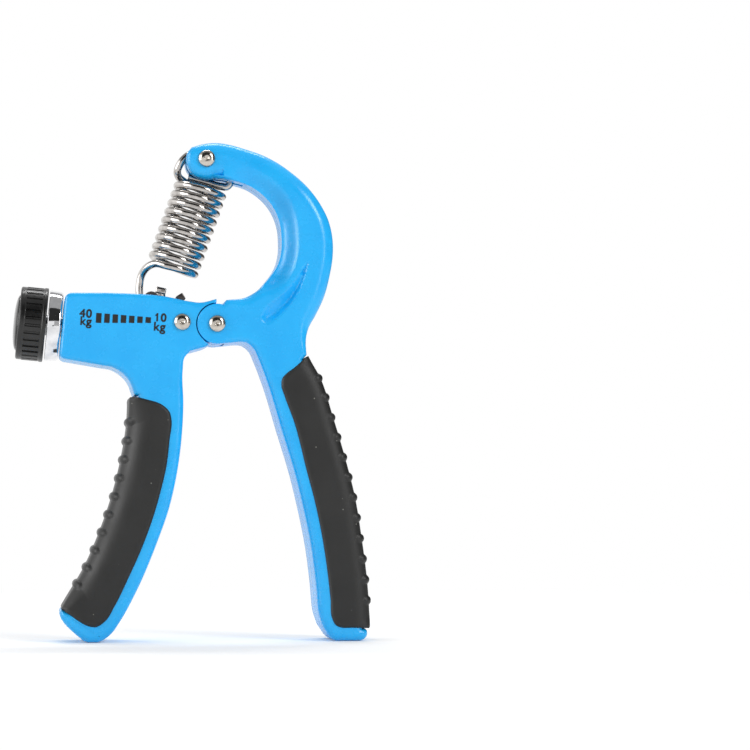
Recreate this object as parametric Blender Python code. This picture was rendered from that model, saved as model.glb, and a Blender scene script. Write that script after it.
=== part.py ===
"""Adjustable hand grip strengthener: a fixed handle with a load-setting screw, a squeezing handle
that swings on one rivet, and a hooked extension spring between them.

Lengths are written in millimetres and multiplied by MM. X runs along the arm to the right, Z is up,
and the front faces -Y. The part stands on the flats of its two handle tips."""

import math

import bmesh
import bpy
from mathutils import Matrix, Vector
from mathutils.geometry import delaunay_2d_cdt

MM = 0.001

# overall sizes
SHELL_HALF_DEPTH = 10.5
LUG_HALF_DEPTH = 7.0
SEAM_GAP = 0.15
FIT_GAP = 0.3
RUN_GAP = 0.06

# pivots, as (x, z)
PIVOT = (6.95, 93.6)
SHELL_RIVET = (-3.35, 94.0)
LUG_RIVET = (3.95, 142.9)
HOOK_PIN = (-12.15, 101.2)

# knuckle
CHEEK_R = 5.95
CHEEK_SEAT_R = 6.25
CHEEK_INNER_Y = 6.0
TONGUE_HALF = 4.9
WASHER_R = 5.4
WASHER_T = 0.5
RIVET_HEAD_R = 2.4
RIVET_HEAD_H = 1.25
PIVOT_SHAFT_R = 2.0
SHELL_SHAFT_R = 1.5
LUG_SHAFT_R = 1.0
SLEEVE_R = 1.5

# adjusting screw, measured along its axis from the end face of the arm
AXIS_TILT = math.radians(5.1)
AXIS_START = (-38.5, 92.92)
SCREW_R = 3.0
COLLAR_SPAN = (-4.3, -0.3)
COLLAR_R = (10.6, 10.05)
KNOB_SPAN = (-12.8, -4.7)
KNOB_VALLEY_R = 10.35
KNOB_RIB_R = 10.9
KNOB_FLANGE_R = 11.0
KNOB_RIBS = 31
CAP_R = 8.2
CAP_END = -14.25
TROUGH_HALF = 4.4
TROUGH_START = 5.0
TROUGH_END_X = 0.3

# spring
WIRE_D = 2.3
COIL_MEAN_R = 6.92
COIL_PITCH = 2.76
COIL_TURNS = 10
COIL_TOP = (3.08, 135.85)
COIL_TILT = math.radians(19.3)
COIL_POINTS = 10

# grips
GRIP_HALF_DEPTH = 11.1
GRIP_RECESS_Y = 9.0
GRIP_WALL = 1.8
GRIP_STEP = 6.0
GRIP_INNER_STEP = 4.0
RIB_PROUD = 0.75
RIB_WIDTH = 2.0
RIB_LENGTH = 3.6


def clear():
    for obj in list(bpy.data.objects):
        bpy.data.objects.remove(obj, do_unlink=True)
    for mesh in list(bpy.data.meshes):
        bpy.data.meshes.remove(mesh)


def material(name, colour, metallic, roughness):
    made = bpy.data.materials.new(name)
    made.use_nodes = True
    shader = made.node_tree.nodes["Principled BSDF"]
    shader.inputs["Base Color"].default_value = (*colour, 1.0)
    shader.inputs["Metallic"].default_value = metallic
    shader.inputs["Roughness"].default_value = roughness
    return made


def curve(points, step=2.4):
    """Smooth line through the points, as points about a step apart."""
    count = len(points)
    gaps = [math.dist(points[i], points[i + 1]) for i in range(count - 1)]

    def slope(i):
        if i == 0:
            return [(b - a) / gaps[0] for a, b in zip(points[0], points[1])]
        if i == count - 1:
            return [(b - a) / gaps[-1] for a, b in zip(points[-2], points[-1])]
        before = [(b - a) / gaps[i - 1] for a, b in zip(points[i - 1], points[i])]
        after = [(b - a) / gaps[i] for a, b in zip(points[i], points[i + 1])]
        share = gaps[i - 1] / (gaps[i - 1] + gaps[i])
        return [p * (1 - share) + q * share for p, q in zip(before, after)]

    line = [tuple(points[0])]
    for i in range(count - 1):
        start, end = slope(i), slope(i + 1)
        pieces = max(1, round(gaps[i] / step))
        for k in range(1, pieces + 1):
            t = k / pieces
            h00 = 2 * t**3 - 3 * t**2 + 1
            h10 = t**3 - 2 * t**2 + t
            h01 = 3 * t**2 - 2 * t**3
            h11 = t**3 - t**2
            line.append(
                tuple(
                    h00 * points[i][c]
                    + h10 * gaps[i] * start[c]
                    + h01 * points[i + 1][c]
                    + h11 * gaps[i] * end[c]
                    for c in range(len(points[0]))
                )
            )
    return line


def arc(centre, radius, start, end, pieces):
    """Points of an arc in the X-Z plane, angles in degrees from +X towards +Z."""
    found = []
    for k in range(pieces + 1):
        angle = math.radians(start + (end - start) * k / pieces)
        found.append((centre[0] + radius * math.cos(angle), centre[1] + radius * math.sin(angle)))
    return found


def tidy(outline):
    """The outline without doubled points."""
    kept = []
    for point in outline:
        if not kept or math.dist(point, kept[-1]) > 0.12:
            kept.append(point)
    if math.dist(kept[0], kept[-1]) < 0.12:
        kept.pop()
    return kept


def area(outline):
    total = 0.0
    for i, (x, z) in enumerate(outline):
        nx, nz = outline[(i + 1) % len(outline)]
        total += x * nz - nx * z
    return total / 2


def inward(outline):
    """Unit mitre directions that point into the outline."""
    side = 1 if area(outline) > 0 else -1
    found = []
    count = len(outline)
    for i in range(count):
        ax, az = outline[i - 1]
        bx, bz = outline[i]
        cx, cz = outline[(i + 1) % count]
        first = Vector((-(bz - az), bx - ax)).normalized() * side
        second = Vector((-(cz - bz), cx - bx)).normalized() * side
        mitre = first + second
        mitre = mitre / max(mitre.length_squared / 2, 0.7)
        found.append(mitre)
    return found


def offset(line, distance):
    """An open line moved sideways, to its right for a positive distance."""
    moved = []
    for i, (x, z) in enumerate(line):
        ax, az = line[max(i - 1, 0)]
        bx, bz = line[min(i + 1, len(line) - 1)]
        length = math.hypot(bx - ax, bz - az)
        moved.append((x + (bz - az) / length * distance, z - (bx - ax) / length * distance))
    return moved


def new_object(name, bm, finish=None, smooth=False):
    bmesh.ops.recalc_face_normals(bm, faces=bm.faces)
    for face in bm.faces:
        face.smooth = smooth
    mesh = bpy.data.meshes.new(name)
    bm.to_mesh(mesh)
    bm.free()
    made = bpy.data.objects.new(name, mesh)
    bpy.context.scene.collection.objects.link(made)
    if finish is not None:
        mesh.materials.append(finish)
    return made


def soft_slab(name, outline, y_near, depth, profile, finish=None, spacing=7.0, side=1):
    """A solid between y_near and depth(x, z), whose outer edge follows profile: for each outline point
    a width and a drop, and shape values from the wall up to the face."""
    outline = tidy(outline)
    inner = inward(outline)
    bm = bmesh.new()
    shape = profile["shape"]
    soft = [profile["at"](x, z) for x, z in outline]
    rings = [[bm.verts.new((x * MM, side * y_near * MM, z * MM)) for x, z in outline]]
    last = None
    for across, up in shape:
        ring = []
        last = []
        for (x, z), way, (width, drop) in zip(outline, inner, soft):
            px = x + way[0] * width * across
            pz = z + way[1] * width * across
            y = depth(px, pz) - drop * (1 - up)
            ring.append(bm.verts.new((px * MM, side * y * MM, pz * MM)))
            last.append((px, pz))
        rings.append(ring)
    count = len(outline)
    for low, high in zip(rings, rings[1:]):
        for i in range(count):
            j = (i + 1) % count
            bm.faces.new((low[i], low[j], high[j], high[i]))
    bm.faces.new(rings[0])
    inside = []
    if spacing:
        xs = [p[0] for p in last]
        zs = [p[1] for p in last]
        for i in range(int((max(xs) - min(xs)) / spacing) + 1):
            for j in range(int((max(zs) - min(zs)) / spacing) + 1):
                at = (min(xs) + spacing * (i + 0.5), min(zs) + spacing * (j + 0.5))
                near = min(math.dist(at, p) for p in last)
                if near > spacing * 0.45:
                    inside.append(at)
    points = [Vector(p) for p in last] + [Vector(p) for p in inside]
    edges = [(i, (i + 1) % count) for i in range(count)]
    out_points, _, out_faces, origin, _, _ = delaunay_2d_cdt(points, edges, [], 1, 1e-6)
    verts = []
    for point, source in zip(out_points, origin):
        if source and source[0] < count:
            verts.append(rings[-1][source[0]])
        else:
            y = depth(point[0], point[1])
            verts.append(bm.verts.new((point[0] * MM, side * y * MM, point[1] * MM)))
    for face in out_faces:
        corners = [verts[k] for k in face]
        if len(set(corners)) == 3:
            bm.faces.new(corners)
    loose = [v for v in bm.verts if not v.link_faces]
    bmesh.ops.delete(bm, geom=loose, context="VERTS")
    bmesh.ops.triangulate(bm, faces=[f for f in bm.faces if len(f.verts) > 4])
    return new_object(name, bm, finish)


ROUND = [(0.0, 0.0), (0.134, 0.5), (0.5, 0.866), (1.0, 1.0)]


def prism(name, outline, y_low, y_high, finish=None):
    """A straight solid from an X-Z outline."""
    bm = bmesh.new()
    outline = tidy(outline)
    face = bm.faces.new([bm.verts.new((x * MM, y_low * MM, z * MM)) for x, z in outline])
    made = bmesh.ops.extrude_face_region(bm, geom=[face])
    moved = [v for v in made["geom"] if isinstance(v, bmesh.types.BMVert)]
    bmesh.ops.translate(bm, verts=moved, vec=(0, (y_high - y_low) * MM, 0))
    bmesh.ops.triangulate(bm, faces=[f for f in bm.faces if len(f.verts) > 4])
    return new_object(name, bm, finish)


def turned(name, profile, finish, place, sides=32, phase=0.0, wave=None):
    """A closed round solid: profile is (along, radius) from end to end, turned about the axis that
    place maps +X to. wave(angle) is a radius added to the points whose third value is True."""
    bm = bmesh.new()
    rings = []
    for entry in profile:
        along, radius = entry[0], entry[1]
        if radius < 1e-6:
            rings.append([bm.verts.new((along * MM, 0, 0))])
            continue
        ring = []
        for k in range(sides):
            angle = phase + 2 * math.pi * k / sides
            reach = radius
            if wave and len(entry) > 2 and entry[2]:
                reach += wave(k)
            ring.append(bm.verts.new((along * MM, reach * MM * math.cos(angle), reach * MM * math.sin(angle))))
        rings.append(ring)
    closed = len(rings[0]) > 1 and len(rings[-1]) > 1
    pairs = list(zip(rings, rings[1:]))
    if closed:
        pairs.append((rings[-1], rings[0]))
    for low, high in pairs:
        for k in range(sides):
            j = (k + 1) % sides
            corners = [low[k % len(low)], low[j % len(low)], high[j % len(high)], high[k % len(high)]]
            corners = list(dict.fromkeys(corners))
            if len(corners) > 2:
                bm.faces.new(corners)
    bmesh.ops.transform(bm, matrix=place, verts=bm.verts)
    return new_object(name, bm, finish, smooth=True)


def cut(target, cutter, how="DIFFERENCE"):
    """Boolean of target with a helper, which stays out of the part."""
    cutter.hide_render = True
    cutter.display_type = "WIRE"
    step = target.modifiers.new(how.lower() + "_" + cutter.name, "BOOLEAN")
    step.operation = how
    step.solver = "EXACT"
    step.object = cutter


def along_y(x, z, y=0.0):
    """Places a turned piece's axis along +Y through (x, z)."""
    return Matrix.Translation(Vector((x, y, z)) * MM) @ Matrix.Rotation(math.pi / 2, 4, "Z")


def along_screw(at=0.0):
    """Places a turned piece's axis along the adjusting screw."""
    start = Vector((AXIS_START[0], 0, AXIS_START[1])) * MM
    turn = Matrix.Rotation(AXIS_TILT, 4, "Y")
    return Matrix.Translation(start) @ turn @ Matrix.Translation((at * MM, 0, 0))


def on_axis(at, up=0.0):
    """(x, z) of a point at a distance along the screw axis and above it."""
    x = AXIS_START[0] + at * math.cos(AXIS_TILT) + up * math.sin(AXIS_TILT)
    z = AXIS_START[1] - at * math.sin(AXIS_TILT) + up * math.cos(AXIS_TILT)
    return (x, z)


def flat_depth(value):
    return lambda x, z: value


# outlines, clockwise from the front
LEFT_GRIP_EDGE = [
    (-37.6, 11.3),
    (-31.3, 22.2),
    (-26.8, 32.8),
    (-23.2, 43.6),
    (-20.7, 54.2),
    (-19.1, 64.7),
    (-18.5, 71.2),
]
LEFT_INNER_EDGE = [
    (-0.9, 85.5),
    (-2.6, 83.6),
    (-3.1, 80.0),
    (-2.85, 69.8),
    (-3.35, 59.6),
    (-4.65, 49.5),
    (-7.05, 38.8),
    (-10.35, 29.3),
    (-16.35, 15.0),
    (-21.45, 5.6),
    (-23.6, 2.6),
    (-26.2, 0.6),
    (-27.6, 0.0),
]
RIGHT_GRIP_EDGE = [
    (34.2, 84.2),
    (37.6, 77.9),
    (41.4, 66.4),
    (45.0, 54.4),
    (48.0, 42.7),
    (50.0, 30.6),
    (51.6, 18.4),
    (52.3, 9.0),
    (52.4, 5.0),
]
RIGHT_INNER_EDGE = [
    (38.6, 4.2),
    (37.5, 7.3),
    (36.5, 16.0),
    (35.2, 26.3),
    (32.4, 40.2),
    (30.2, 49.1),
    (26.2, 62.2),
    (22.0, 76.0),
    (19.2, 83.4),
    (17.9, 86.2),
    (15.6, 88.1),
    (12.9, 88.25),
]
RING_OUTER = [
    (-0.4, 146.4),
    (3.45, 147.7),
    (7.75, 148.1),
    (12.05, 147.4),
    (16.25, 146.2),
    (20.55, 144.7),
    (24.85, 142.5),
    (29.05, 139.5),
    (33.45, 135.6),
    (37.75, 130.1),
    (40.35, 125.0),
    (41.65, 119.1),
    (41.65, 113.9),
    (40.75, 108.4),
    (39.05, 102.0),
    (36.45, 96.4),
    (34.5, 93.0),
    (33.6, 90.2),
    (33.4, 87.2),
    (33.6, 84.6),
]
RING_INNER = [
    (9.7, 100.7),
    (15.2, 101.5),
    (18.9, 103.6),
    (22.4, 107.2),
    (25.4, 111.9),
    (26.3, 115.6),
    (26.4, 119.5),
    (25.7, 124.6),
    (23.5, 129.3),
    (20.0, 133.0),
    (15.7, 135.5),
    (12.3, 136.4),
    (9.0, 137.2),
]
CRESCENT = [
    (22.9, 94.0),
    (26.6, 97.0),
    (30.7, 102.4),
    (33.1, 108.2),
    (34.0, 112.6),
    (31.1, 108.3),
    (27.0, 103.2),
    (20.7, 97.6),
    (20.0, 95.4),
    (21.2, 93.8),
]
LEFT_GRIP_INNER = [
    (-18.5, 71.9),
    (-16.6, 71.9),
    (-13.25, 71.1),
    (-9.15, 69.7),
    (-6.9, 67.6),
    (-6.25, 65.0),
    (-6.75, 59.6),
    (-7.75, 51.2),
    (-9.45, 43.8),
    (-11.15, 37.7),
    (-14.85, 27.4),
    (-18.85, 18.4),
    (-22.75, 10.4),
    (-25.45, 6.1),
    (-28.15, 4.4),
    (-30.45, 4.7),
    (-33.15, 6.1),
    (-36.0, 8.9),
    (-37.6, 11.3),
]
RIGHT_GRIP_INNER = [
    (52.4, 5.0),
    (51.7, 4.0),
    (50.2, 3.85),
    (43.6, 3.9),
    (42.2, 4.5),
    (41.0, 6.6),
    (40.5, 12.2),
    (39.4, 21.7),
    (38.1, 30.1),
    (36.0, 40.3),
    (33.3, 50.5),
    (29.6, 64.7),
    (26.8, 72.2),
    (25.8, 75.6),
    (26.0, 77.4),
    (27.2, 78.9),
    (29.7, 80.8),
    (33.1, 82.9),
    (34.2, 84.2),
]


def left_outline():
    arm_end = [on_axis(0.35, -9.2), on_axis(0.0, -8.2), on_axis(0.0, 8.2), on_axis(0.35, 9.2), on_axis(1.4, 9.6)]
    top = curve([on_axis(2.4, 9.75), (-21.8, 102.4), (-8.6, 101.6), (-1.2, 100.2), (1.8, 99.85), (6.85, 101.0)], 4.6)
    disc = arc(PIVOT, CHEEK_R, 89, -120, 18)
    under = [(4.75, 87.3), (3.1, 86.6)] + curve(LEFT_INNER_EDGE, 5.2)
    tip = [(-30.4, 0.0)] + curve([(-31.8, 0.5), (-35.0, 3.2), (-37.7, 6.0), (-38.6, 7.9), (-38.4, 9.4)], 1.8)
    tip += [(-37.6, 10.1), (-36.55, 8.9), (-35.95, 9.3)]
    beneath = offset(curve(LEFT_GRIP_EDGE, GRIP_STEP), GRIP_WALL + FIT_GAP) + [(-16.3, 72.25)]
    armpit = curve([(-17.3, 72.4), (-19.0, 76.8), (-23.4, 80.4), (-27.6, 81.2)], 1.8) + [on_axis(1.4, -9.9)]
    return arm_end + top + disc + under + tip + beneath + armpit


def right_outline():
    notch = [(8.75, 99.4)]
    hole = curve(RING_INNER, 3.2)
    lug = arc(LUG_RIVET, 5.95, -68, -200, 11)
    outer = curve(RING_OUTER, 3.6)
    beneath = [(32.3, 83.1)] + offset(curve(RIGHT_GRIP_EDGE, GRIP_STEP), GRIP_WALL + FIT_GAP)[1:]
    tip = [(50.25, 3.55), (51.9, 3.45), (52.0, 1.9), (51.0, 0.6), (49.6, 0.0), (42.6, 0.0), (41.0, 0.9)]
    inner = curve(RIGHT_INNER_EDGE, 5.2)
    disc = arc(PIVOT, CHEEK_R, -80, -286, 18)
    return notch + hole + lug + outer + beneath + tip + inner + disc


def right_depth(x, z):
    """The ring thins from full depth at its foot to the lug."""
    share = min(max((z - 108.0) / 34.0, 0.0), 1.0)
    share *= min(max((40.0 - x) / 26.0, 0.0), 1.0)
    return SHELL_HALF_DEPTH - (SHELL_HALF_DEPTH - LUG_HALF_DEPTH) * share * share * (3 - 2 * share)


def right_edge(x, z):
    """Width and drop of the moulded edge: a wide soft scoop inside the ring, a full round outside."""
    scoop = 0.0
    inside_ring = math.dist((x, z), (10.0, 118.5)) < 19.5 and x > 6.0 and z > 100.9
    if inside_ring and z > 101.2:
        scoop = min(max((z - 102.5) / 13.0, 0.0), 1.0) * min(max((x - 8.5) / 5.0, 0.0), 1.0)
    if scoop > 0:
        width = 1.0 + 3.4 * scoop
        drop = 1.0 + (right_depth(x, z) - 3.6) * scoop
        return (width, drop)
    if z > 101 and not inside_ring:
        reach = min(max((z - 84.0) / 16.0, 0.0), 1.0)
        near_lug = min(max((x + 1.0) / 9.0, 0.0), 1.0)
        soft = 1.1 + 1.7 * reach * near_lug
        return (soft, soft)
    if z > 84 and x > 30:
        soft = 1.1 + 1.7 * (z - 84) / 17.0
        return (soft, soft)
    if 3.3 < z < 83.6 and x > 31.5 + (83.0 - z) * 0.235:
        return (0.2, 0.2)
    return (1.0, 1.0)


def left_edge(x, z):
    if 8.7 < z < 72.3 and x < -15.5 + (z - 72.3) * 0.31:
        return (0.2, 0.2)
    return (1.0, 1.0)


def side_name(side):
    return "front" if side < 0 else "back"


def bore(name, at, radius, half=16.0, sides=32):
    """A round cutter along Y."""
    profile = [(-half, 0), (-half, radius), (half, radius), (half, 0)]
    return turned(name, profile, None, along_y(*at), sides)


def grip_pocket(target, name, outline, side):
    """The shallow seat of a grip in one shell face."""
    low, high = (GRIP_RECESS_Y, 14.0) if side > 0 else (-14.0, -GRIP_RECESS_Y)
    cut(target, prism(name, outline, low, high))


def expanded(outline, distance):
    return [(x - way[0] * distance, z - way[1] * distance) for (x, z), way in zip(outline, inward(outline))]


def build_left(side, finish):
    name = f"left_{side_name(side)}_shell"
    shell = soft_slab(
        name,
        left_outline(),
        SEAM_GAP,
        flat_depth(SHELL_HALF_DEPTH),
        {"shape": ROUND, "at": left_edge},
        finish,
        spacing=0,
        side=side,
    )
    # seat for the cheek of the right handle, open towards the pivot side
    low, high = (TONGUE_HALF, 14.0) if side > 0 else (-14.0, -TONGUE_HALF)
    seat = arc(PIVOT, CHEEK_SEAT_R, 92, 226, 14) + [(6.3, 85.6), (14.5, 84.0), (14.5, 102.5), (6.75, 102.5)]
    cut(shell, prism(f"cheek_seat_{side_name(side)}", seat, low, high))
    grip_pocket(shell, f"left_pocket_{side_name(side)}", left_pocket_outline(), side)
    core = core_outline(LEFT_CORE, 4)
    low, high = (-0.5, 6.3) if side > 0 else (-6.3, 0.5)
    cut(shell, prism(f"left_hollow_{side_name(side)}", core, low, high))
    return shell


LEFT_CORE = [(-10.5, 76.0), (-10.6, 60.0), (-12.9, 44.5), (-18.0, 29.5), (-28.2, 8.6)]
RIGHT_CORE = [(28.5, 80.0), (32.3, 67.5), (36.2, 54.0), (39.7, 38.0), (42.2, 22.0), (43.7, 7.5)]


def core_outline(line, half):
    """A slot-shaped outline that follows a centre line."""
    centre = curve(line, 7.0)
    return offset(centre, half) + list(reversed(offset(centre, -half)))


def left_pocket_outline():
    inner = curve(LEFT_GRIP_INNER, GRIP_INNER_STEP)
    outer = offset(curve(LEFT_GRIP_EDGE, GRIP_STEP), -3.0)
    return expanded(tidy(inner), FIT_GAP)[1:-1] + outer


def right_pocket_outline():
    inner = curve(RIGHT_GRIP_INNER, GRIP_INNER_STEP)
    outer = offset(curve(RIGHT_GRIP_EDGE, GRIP_STEP), -3.0)
    return expanded(tidy(inner), FIT_GAP)[1:-1] + outer


def build_right(side, finish):
    name = f"right_{side_name(side)}_shell"
    shell = soft_slab(
        name,
        right_outline(),
        SEAM_GAP,
        right_depth,
        {"shape": [(0.0, 0.0), (0.2, 0.45), (0.52, 0.84), (1.0, 1.0)], "at": right_edge},
        finish,
        spacing=8.0,
        side=side,
    )
    # room for the tongue of the left handle between the cheeks
    low, high = (-0.5, CHEEK_INNER_Y) if side > 0 else (-CHEEK_INNER_Y, 0.5)
    cut(shell, prism(f"tongue_room_{side_name(side)}", arc(PIVOT, CHEEK_SEAT_R, 0, 350, 35), low, high))
    # the crescent finger mark
    low, high = (SHELL_HALF_DEPTH - 1.0, 14.0) if side > 0 else (-14.0, 1.0 - SHELL_HALF_DEPTH)
    cut(shell, prism(f"crescent_{side_name(side)}", curve(CRESCENT, 2.4), low, high))
    grip_pocket(shell, f"right_pocket_{side_name(side)}", right_pocket_outline(), side)
    low, high = (-0.5, 6.3) if side > 0 else (-6.3, 0.5)
    cut(shell, prism(f"right_hollow_{side_name(side)}", core_outline(RIGHT_CORE, 3.6), low, high))
    return shell


def grip_solid(name, edge, inner, ribs, finish):
    """A rubber sleeve open towards the inner side of the handle, ribbed along its outer side."""
    outline = tidy(curve(inner, GRIP_INNER_STEP) + curve(edge, GRIP_STEP))
    halves = []
    for side in (-1, 1):
        half = soft_slab(
            f"{name}_{side_name(side)}",
            outline,
            -0.4,
            flat_depth(GRIP_HALF_DEPTH),
            {"shape": [(0.0, 0.0), (0.293, 0.707), (1.0, 1.0)], "at": lambda x, z: (1.1, 1.1)},
            finish,
            spacing=0,
            side=side,
        )
        halves.append(half)
    sleeve = halves[0]
    sleeve.name = name
    cut(sleeve, halves[1], "UNION")
    bars = rib_bars(f"{name}_bars", edge, ribs)
    cut(sleeve, bars, "UNION")
    # the handle passes through, so the sleeve is a channel
    line = offset(curve(edge, GRIP_STEP), GRIP_WALL)
    first, last = line[0], line[-1]
    far = [(last[0] + (70 if name.startswith("left") else -70), last[1] + 14)]
    far.append((first[0] + (70 if name.startswith("left") else -70), first[1] - 14))
    lead_in = (first[0] + (line[0][0] - line[1][0]) * 4, first[1] + (line[0][1] - line[1][1]) * 4)
    lead_out = (last[0] + (line[-1][0] - line[-2][0]) * 4, last[1] + (line[-1][1] - line[-2][1]) * 4)
    core = [lead_in] + line + [lead_out] + far
    half = GRIP_RECESS_Y + FIT_GAP
    cut(sleeve, prism(f"{name}_core", core, -half, half))
    return sleeve


def rib_bars(name, edge, count):
    """Rounded bars across the outer side of a grip, evenly spaced along it."""
    line = curve(edge, 0.5)
    lengths = [0.0]
    for a, b in zip(line, line[1:]):
        lengths.append(lengths[-1] + math.dist(a, b))
    start, end, number = count
    bm = bmesh.new()
    half_y = GRIP_HALF_DEPTH + 0.35
    for k in range(number):
        target = lengths[-1] * (start + (end - start) * k / (number - 1))
        at = min(range(len(line)), key=lambda i: abs(lengths[i] - target))
        a, b = line[max(at - 2, 0)], line[min(at + 2, len(line) - 1)]
        along = Vector((b[0] - a[0], b[1] - a[1])).normalized()
        out = Vector((-along[1], along[0]))
        centre = Vector(line[at])
        half = RIB_WIDTH / 2
        flat = []
        for angle in (90, 54, 18, -18, -54, -90):
            turn = math.radians(angle)
            flat.append(centre + out * (RIB_PROUD - half + half * math.cos(turn)) + along * half * math.sin(turn))
        for angle in (-90, -30, 30, 90):
            turn = math.radians(angle)
            flat.append(
                centre
                - out * (RIB_LENGTH - RIB_PROUD - half + half * math.cos(turn))
                + along * half * math.sin(turn)
            )
        middle = sum(flat, Vector((0, 0))) / len(flat)
        rings = []
        for y, shrink in ((-half_y, 0.62), (-half_y + 0.45, 1.0), (half_y - 0.45, 1.0), (half_y, 0.62)):
            ring = []
            for p in flat:
                q = middle + (p - middle) * shrink if shrink < 1 else p
                ring.append(bm.verts.new((q[0] * MM, y * MM, q[1] * MM)))
            rings.append(ring)
        for low, high in zip(rings, rings[1:]):
            for i in range(len(flat)):
                j = (i + 1) % len(flat)
                bm.faces.new((low[i], low[j], high[j], high[i]))
        bm.faces.new(rings[0])
        bm.faces.new(rings[-1])
    return new_object(name, bm)


def rivet(name, at, shaft, face, finish):
    """A round rivet with a low domed head on each side and a dimple where it was closed."""
    seat = face + 0.2
    top = seat + RIVET_HEAD_H
    dome = []
    for k in range(3):
        turn = math.radians(32 * k)
        rise = (RIVET_HEAD_H - 0.25) * math.sin(turn)
        dome.append((seat + 0.25 + rise, RIVET_HEAD_R * (0.2 + 0.8 * math.cos(turn))))
    head = [(seat, shaft), (seat, RIVET_HEAD_R)] + dome + [(top, 0.35), (top - 0.25, 0.0)]
    profile = [(-a, r) for a, r in reversed(head)] + head
    return turned(name, profile, finish, along_y(*at), 20)


def spring_route():
    """Centre line of the wire: hook, coil and eye in one run, in millimetres."""
    route = []
    up = Vector((math.sin(COIL_TILT), 0, math.cos(COIL_TILT)))
    right = Vector((math.cos(COIL_TILT), 0, -math.sin(COIL_TILT)))
    front = Vector((0, -1, 0))
    top = Vector((COIL_TOP[0], 0, COIL_TOP[1]))
    total = COIL_PITCH * COIL_TURNS
    # the coil climbs from the left side, over the front, to the back
    coil = []
    steps = round(COIL_TURNS * COIL_POINTS)
    for k in range(steps + 1):
        turn = 2 * math.pi * k / COIL_POINTS
        height = -total + COIL_PITCH * k / COIL_POINTS
        coil.append(top + up * height - right * COIL_MEAN_R * math.cos(turn) + front * COIL_MEAN_R * math.sin(turn))
    hook = [
        Vector((-9.0, 0, 103.5)),
        Vector((-9.0, 0, 101.5)),
        Vector((-9.6, 0, 99.8)),
        Vector((-11.0, 0, 98.6)),
        Vector((-12.7, 0, 98.5)),
        Vector((-14.4, 0, 99.6)),
        Vector((-15.3, 0, 101.4)),
        Vector((-15.6, 0, 103.8)),
        Vector((-15.45, -0.1, 106.4)),
        Vector((-14.9, -0.7, 108.6)),
        Vector((-13.6, -2.2, 110.5)),
        coil[1] - up * 0.3,
        coil[2] - up * 0.15,
    ]
    eye = [
        Vector((-2.3, 4.7, 137.5)),
        Vector((-4.0, 2.3, 138.7)),
        Vector((-4.3, 0.5, 140.2)),
        Vector((-3.5, 0, 142.1)),
        Vector((-1.6, 0, 144.3)),
        Vector((1.2, 0, 145.5)),
        Vector((4.2, 0, 145.7)),
        Vector((7.3, 0, 144.9)),
        Vector((9.8, 0, 142.9)),
        Vector((11.2, 0, 140.2)),
        Vector((11.5, 0, 137.6)),
        Vector((11.3, 0, 136.1)),
        Vector((10.4, 0, 135.3)),
        Vector((9.0, 0, 135.4)),
        Vector((3.8, 0, 136.7)),
        Vector((-1.2, 0, 137.95)),
    ]
    return hook, coil, eye


def least_gap(points, wire):
    """Least distance between the surfaces of two stretches of the wire that aren't neighbours."""
    least = 1e9
    run = [0.0]
    for a, b in zip(points, points[1:]):
        run.append(run[-1] + (b - a).length)
    for i, a in enumerate(points):
        for j in range(i + 1, len(points)):
            if run[j] - run[i] > 4.0 * wire:
                least = min(least, (a - points[j]).length)
    return least - wire


def build_spring(finish):
    hook, coil, eye = spring_route()
    ends = [tuple(p) for p in hook]
    tail = [tuple(p) for p in eye]
    first = curve(ends, 1.3)
    last = curve([tuple(coil[-4]), tuple(coil[-3])] + tail, 1.5)
    points = [Vector(p) for p in first] + coil[3:-4] + [Vector(p) for p in last]
    fine = [Vector(p) for p in curve([tuple(p) for p in points], 0.4)]
    print(f"spring: least gap of the wire to itself {least_gap(fine, WIRE_D):.3f} mm on {len(fine)} points")
    data = bpy.data.curves.new("spring", "CURVE")
    data.dimensions = "3D"
    data.bevel_depth = WIRE_D / 2 * MM
    data.bevel_resolution = 1
    data.use_fill_caps = True
    line = data.splines.new("POLY")
    line.points.add(len(points) - 1)
    for spot, p in zip(line.points, points):
        spot.co = (p.x * MM, p.y * MM, p.z * MM, 1.0)
    spring = bpy.data.objects.new("spring", data)
    data.materials.append(finish)
    bpy.context.scene.collection.objects.link(spring)
    return spring


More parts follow.
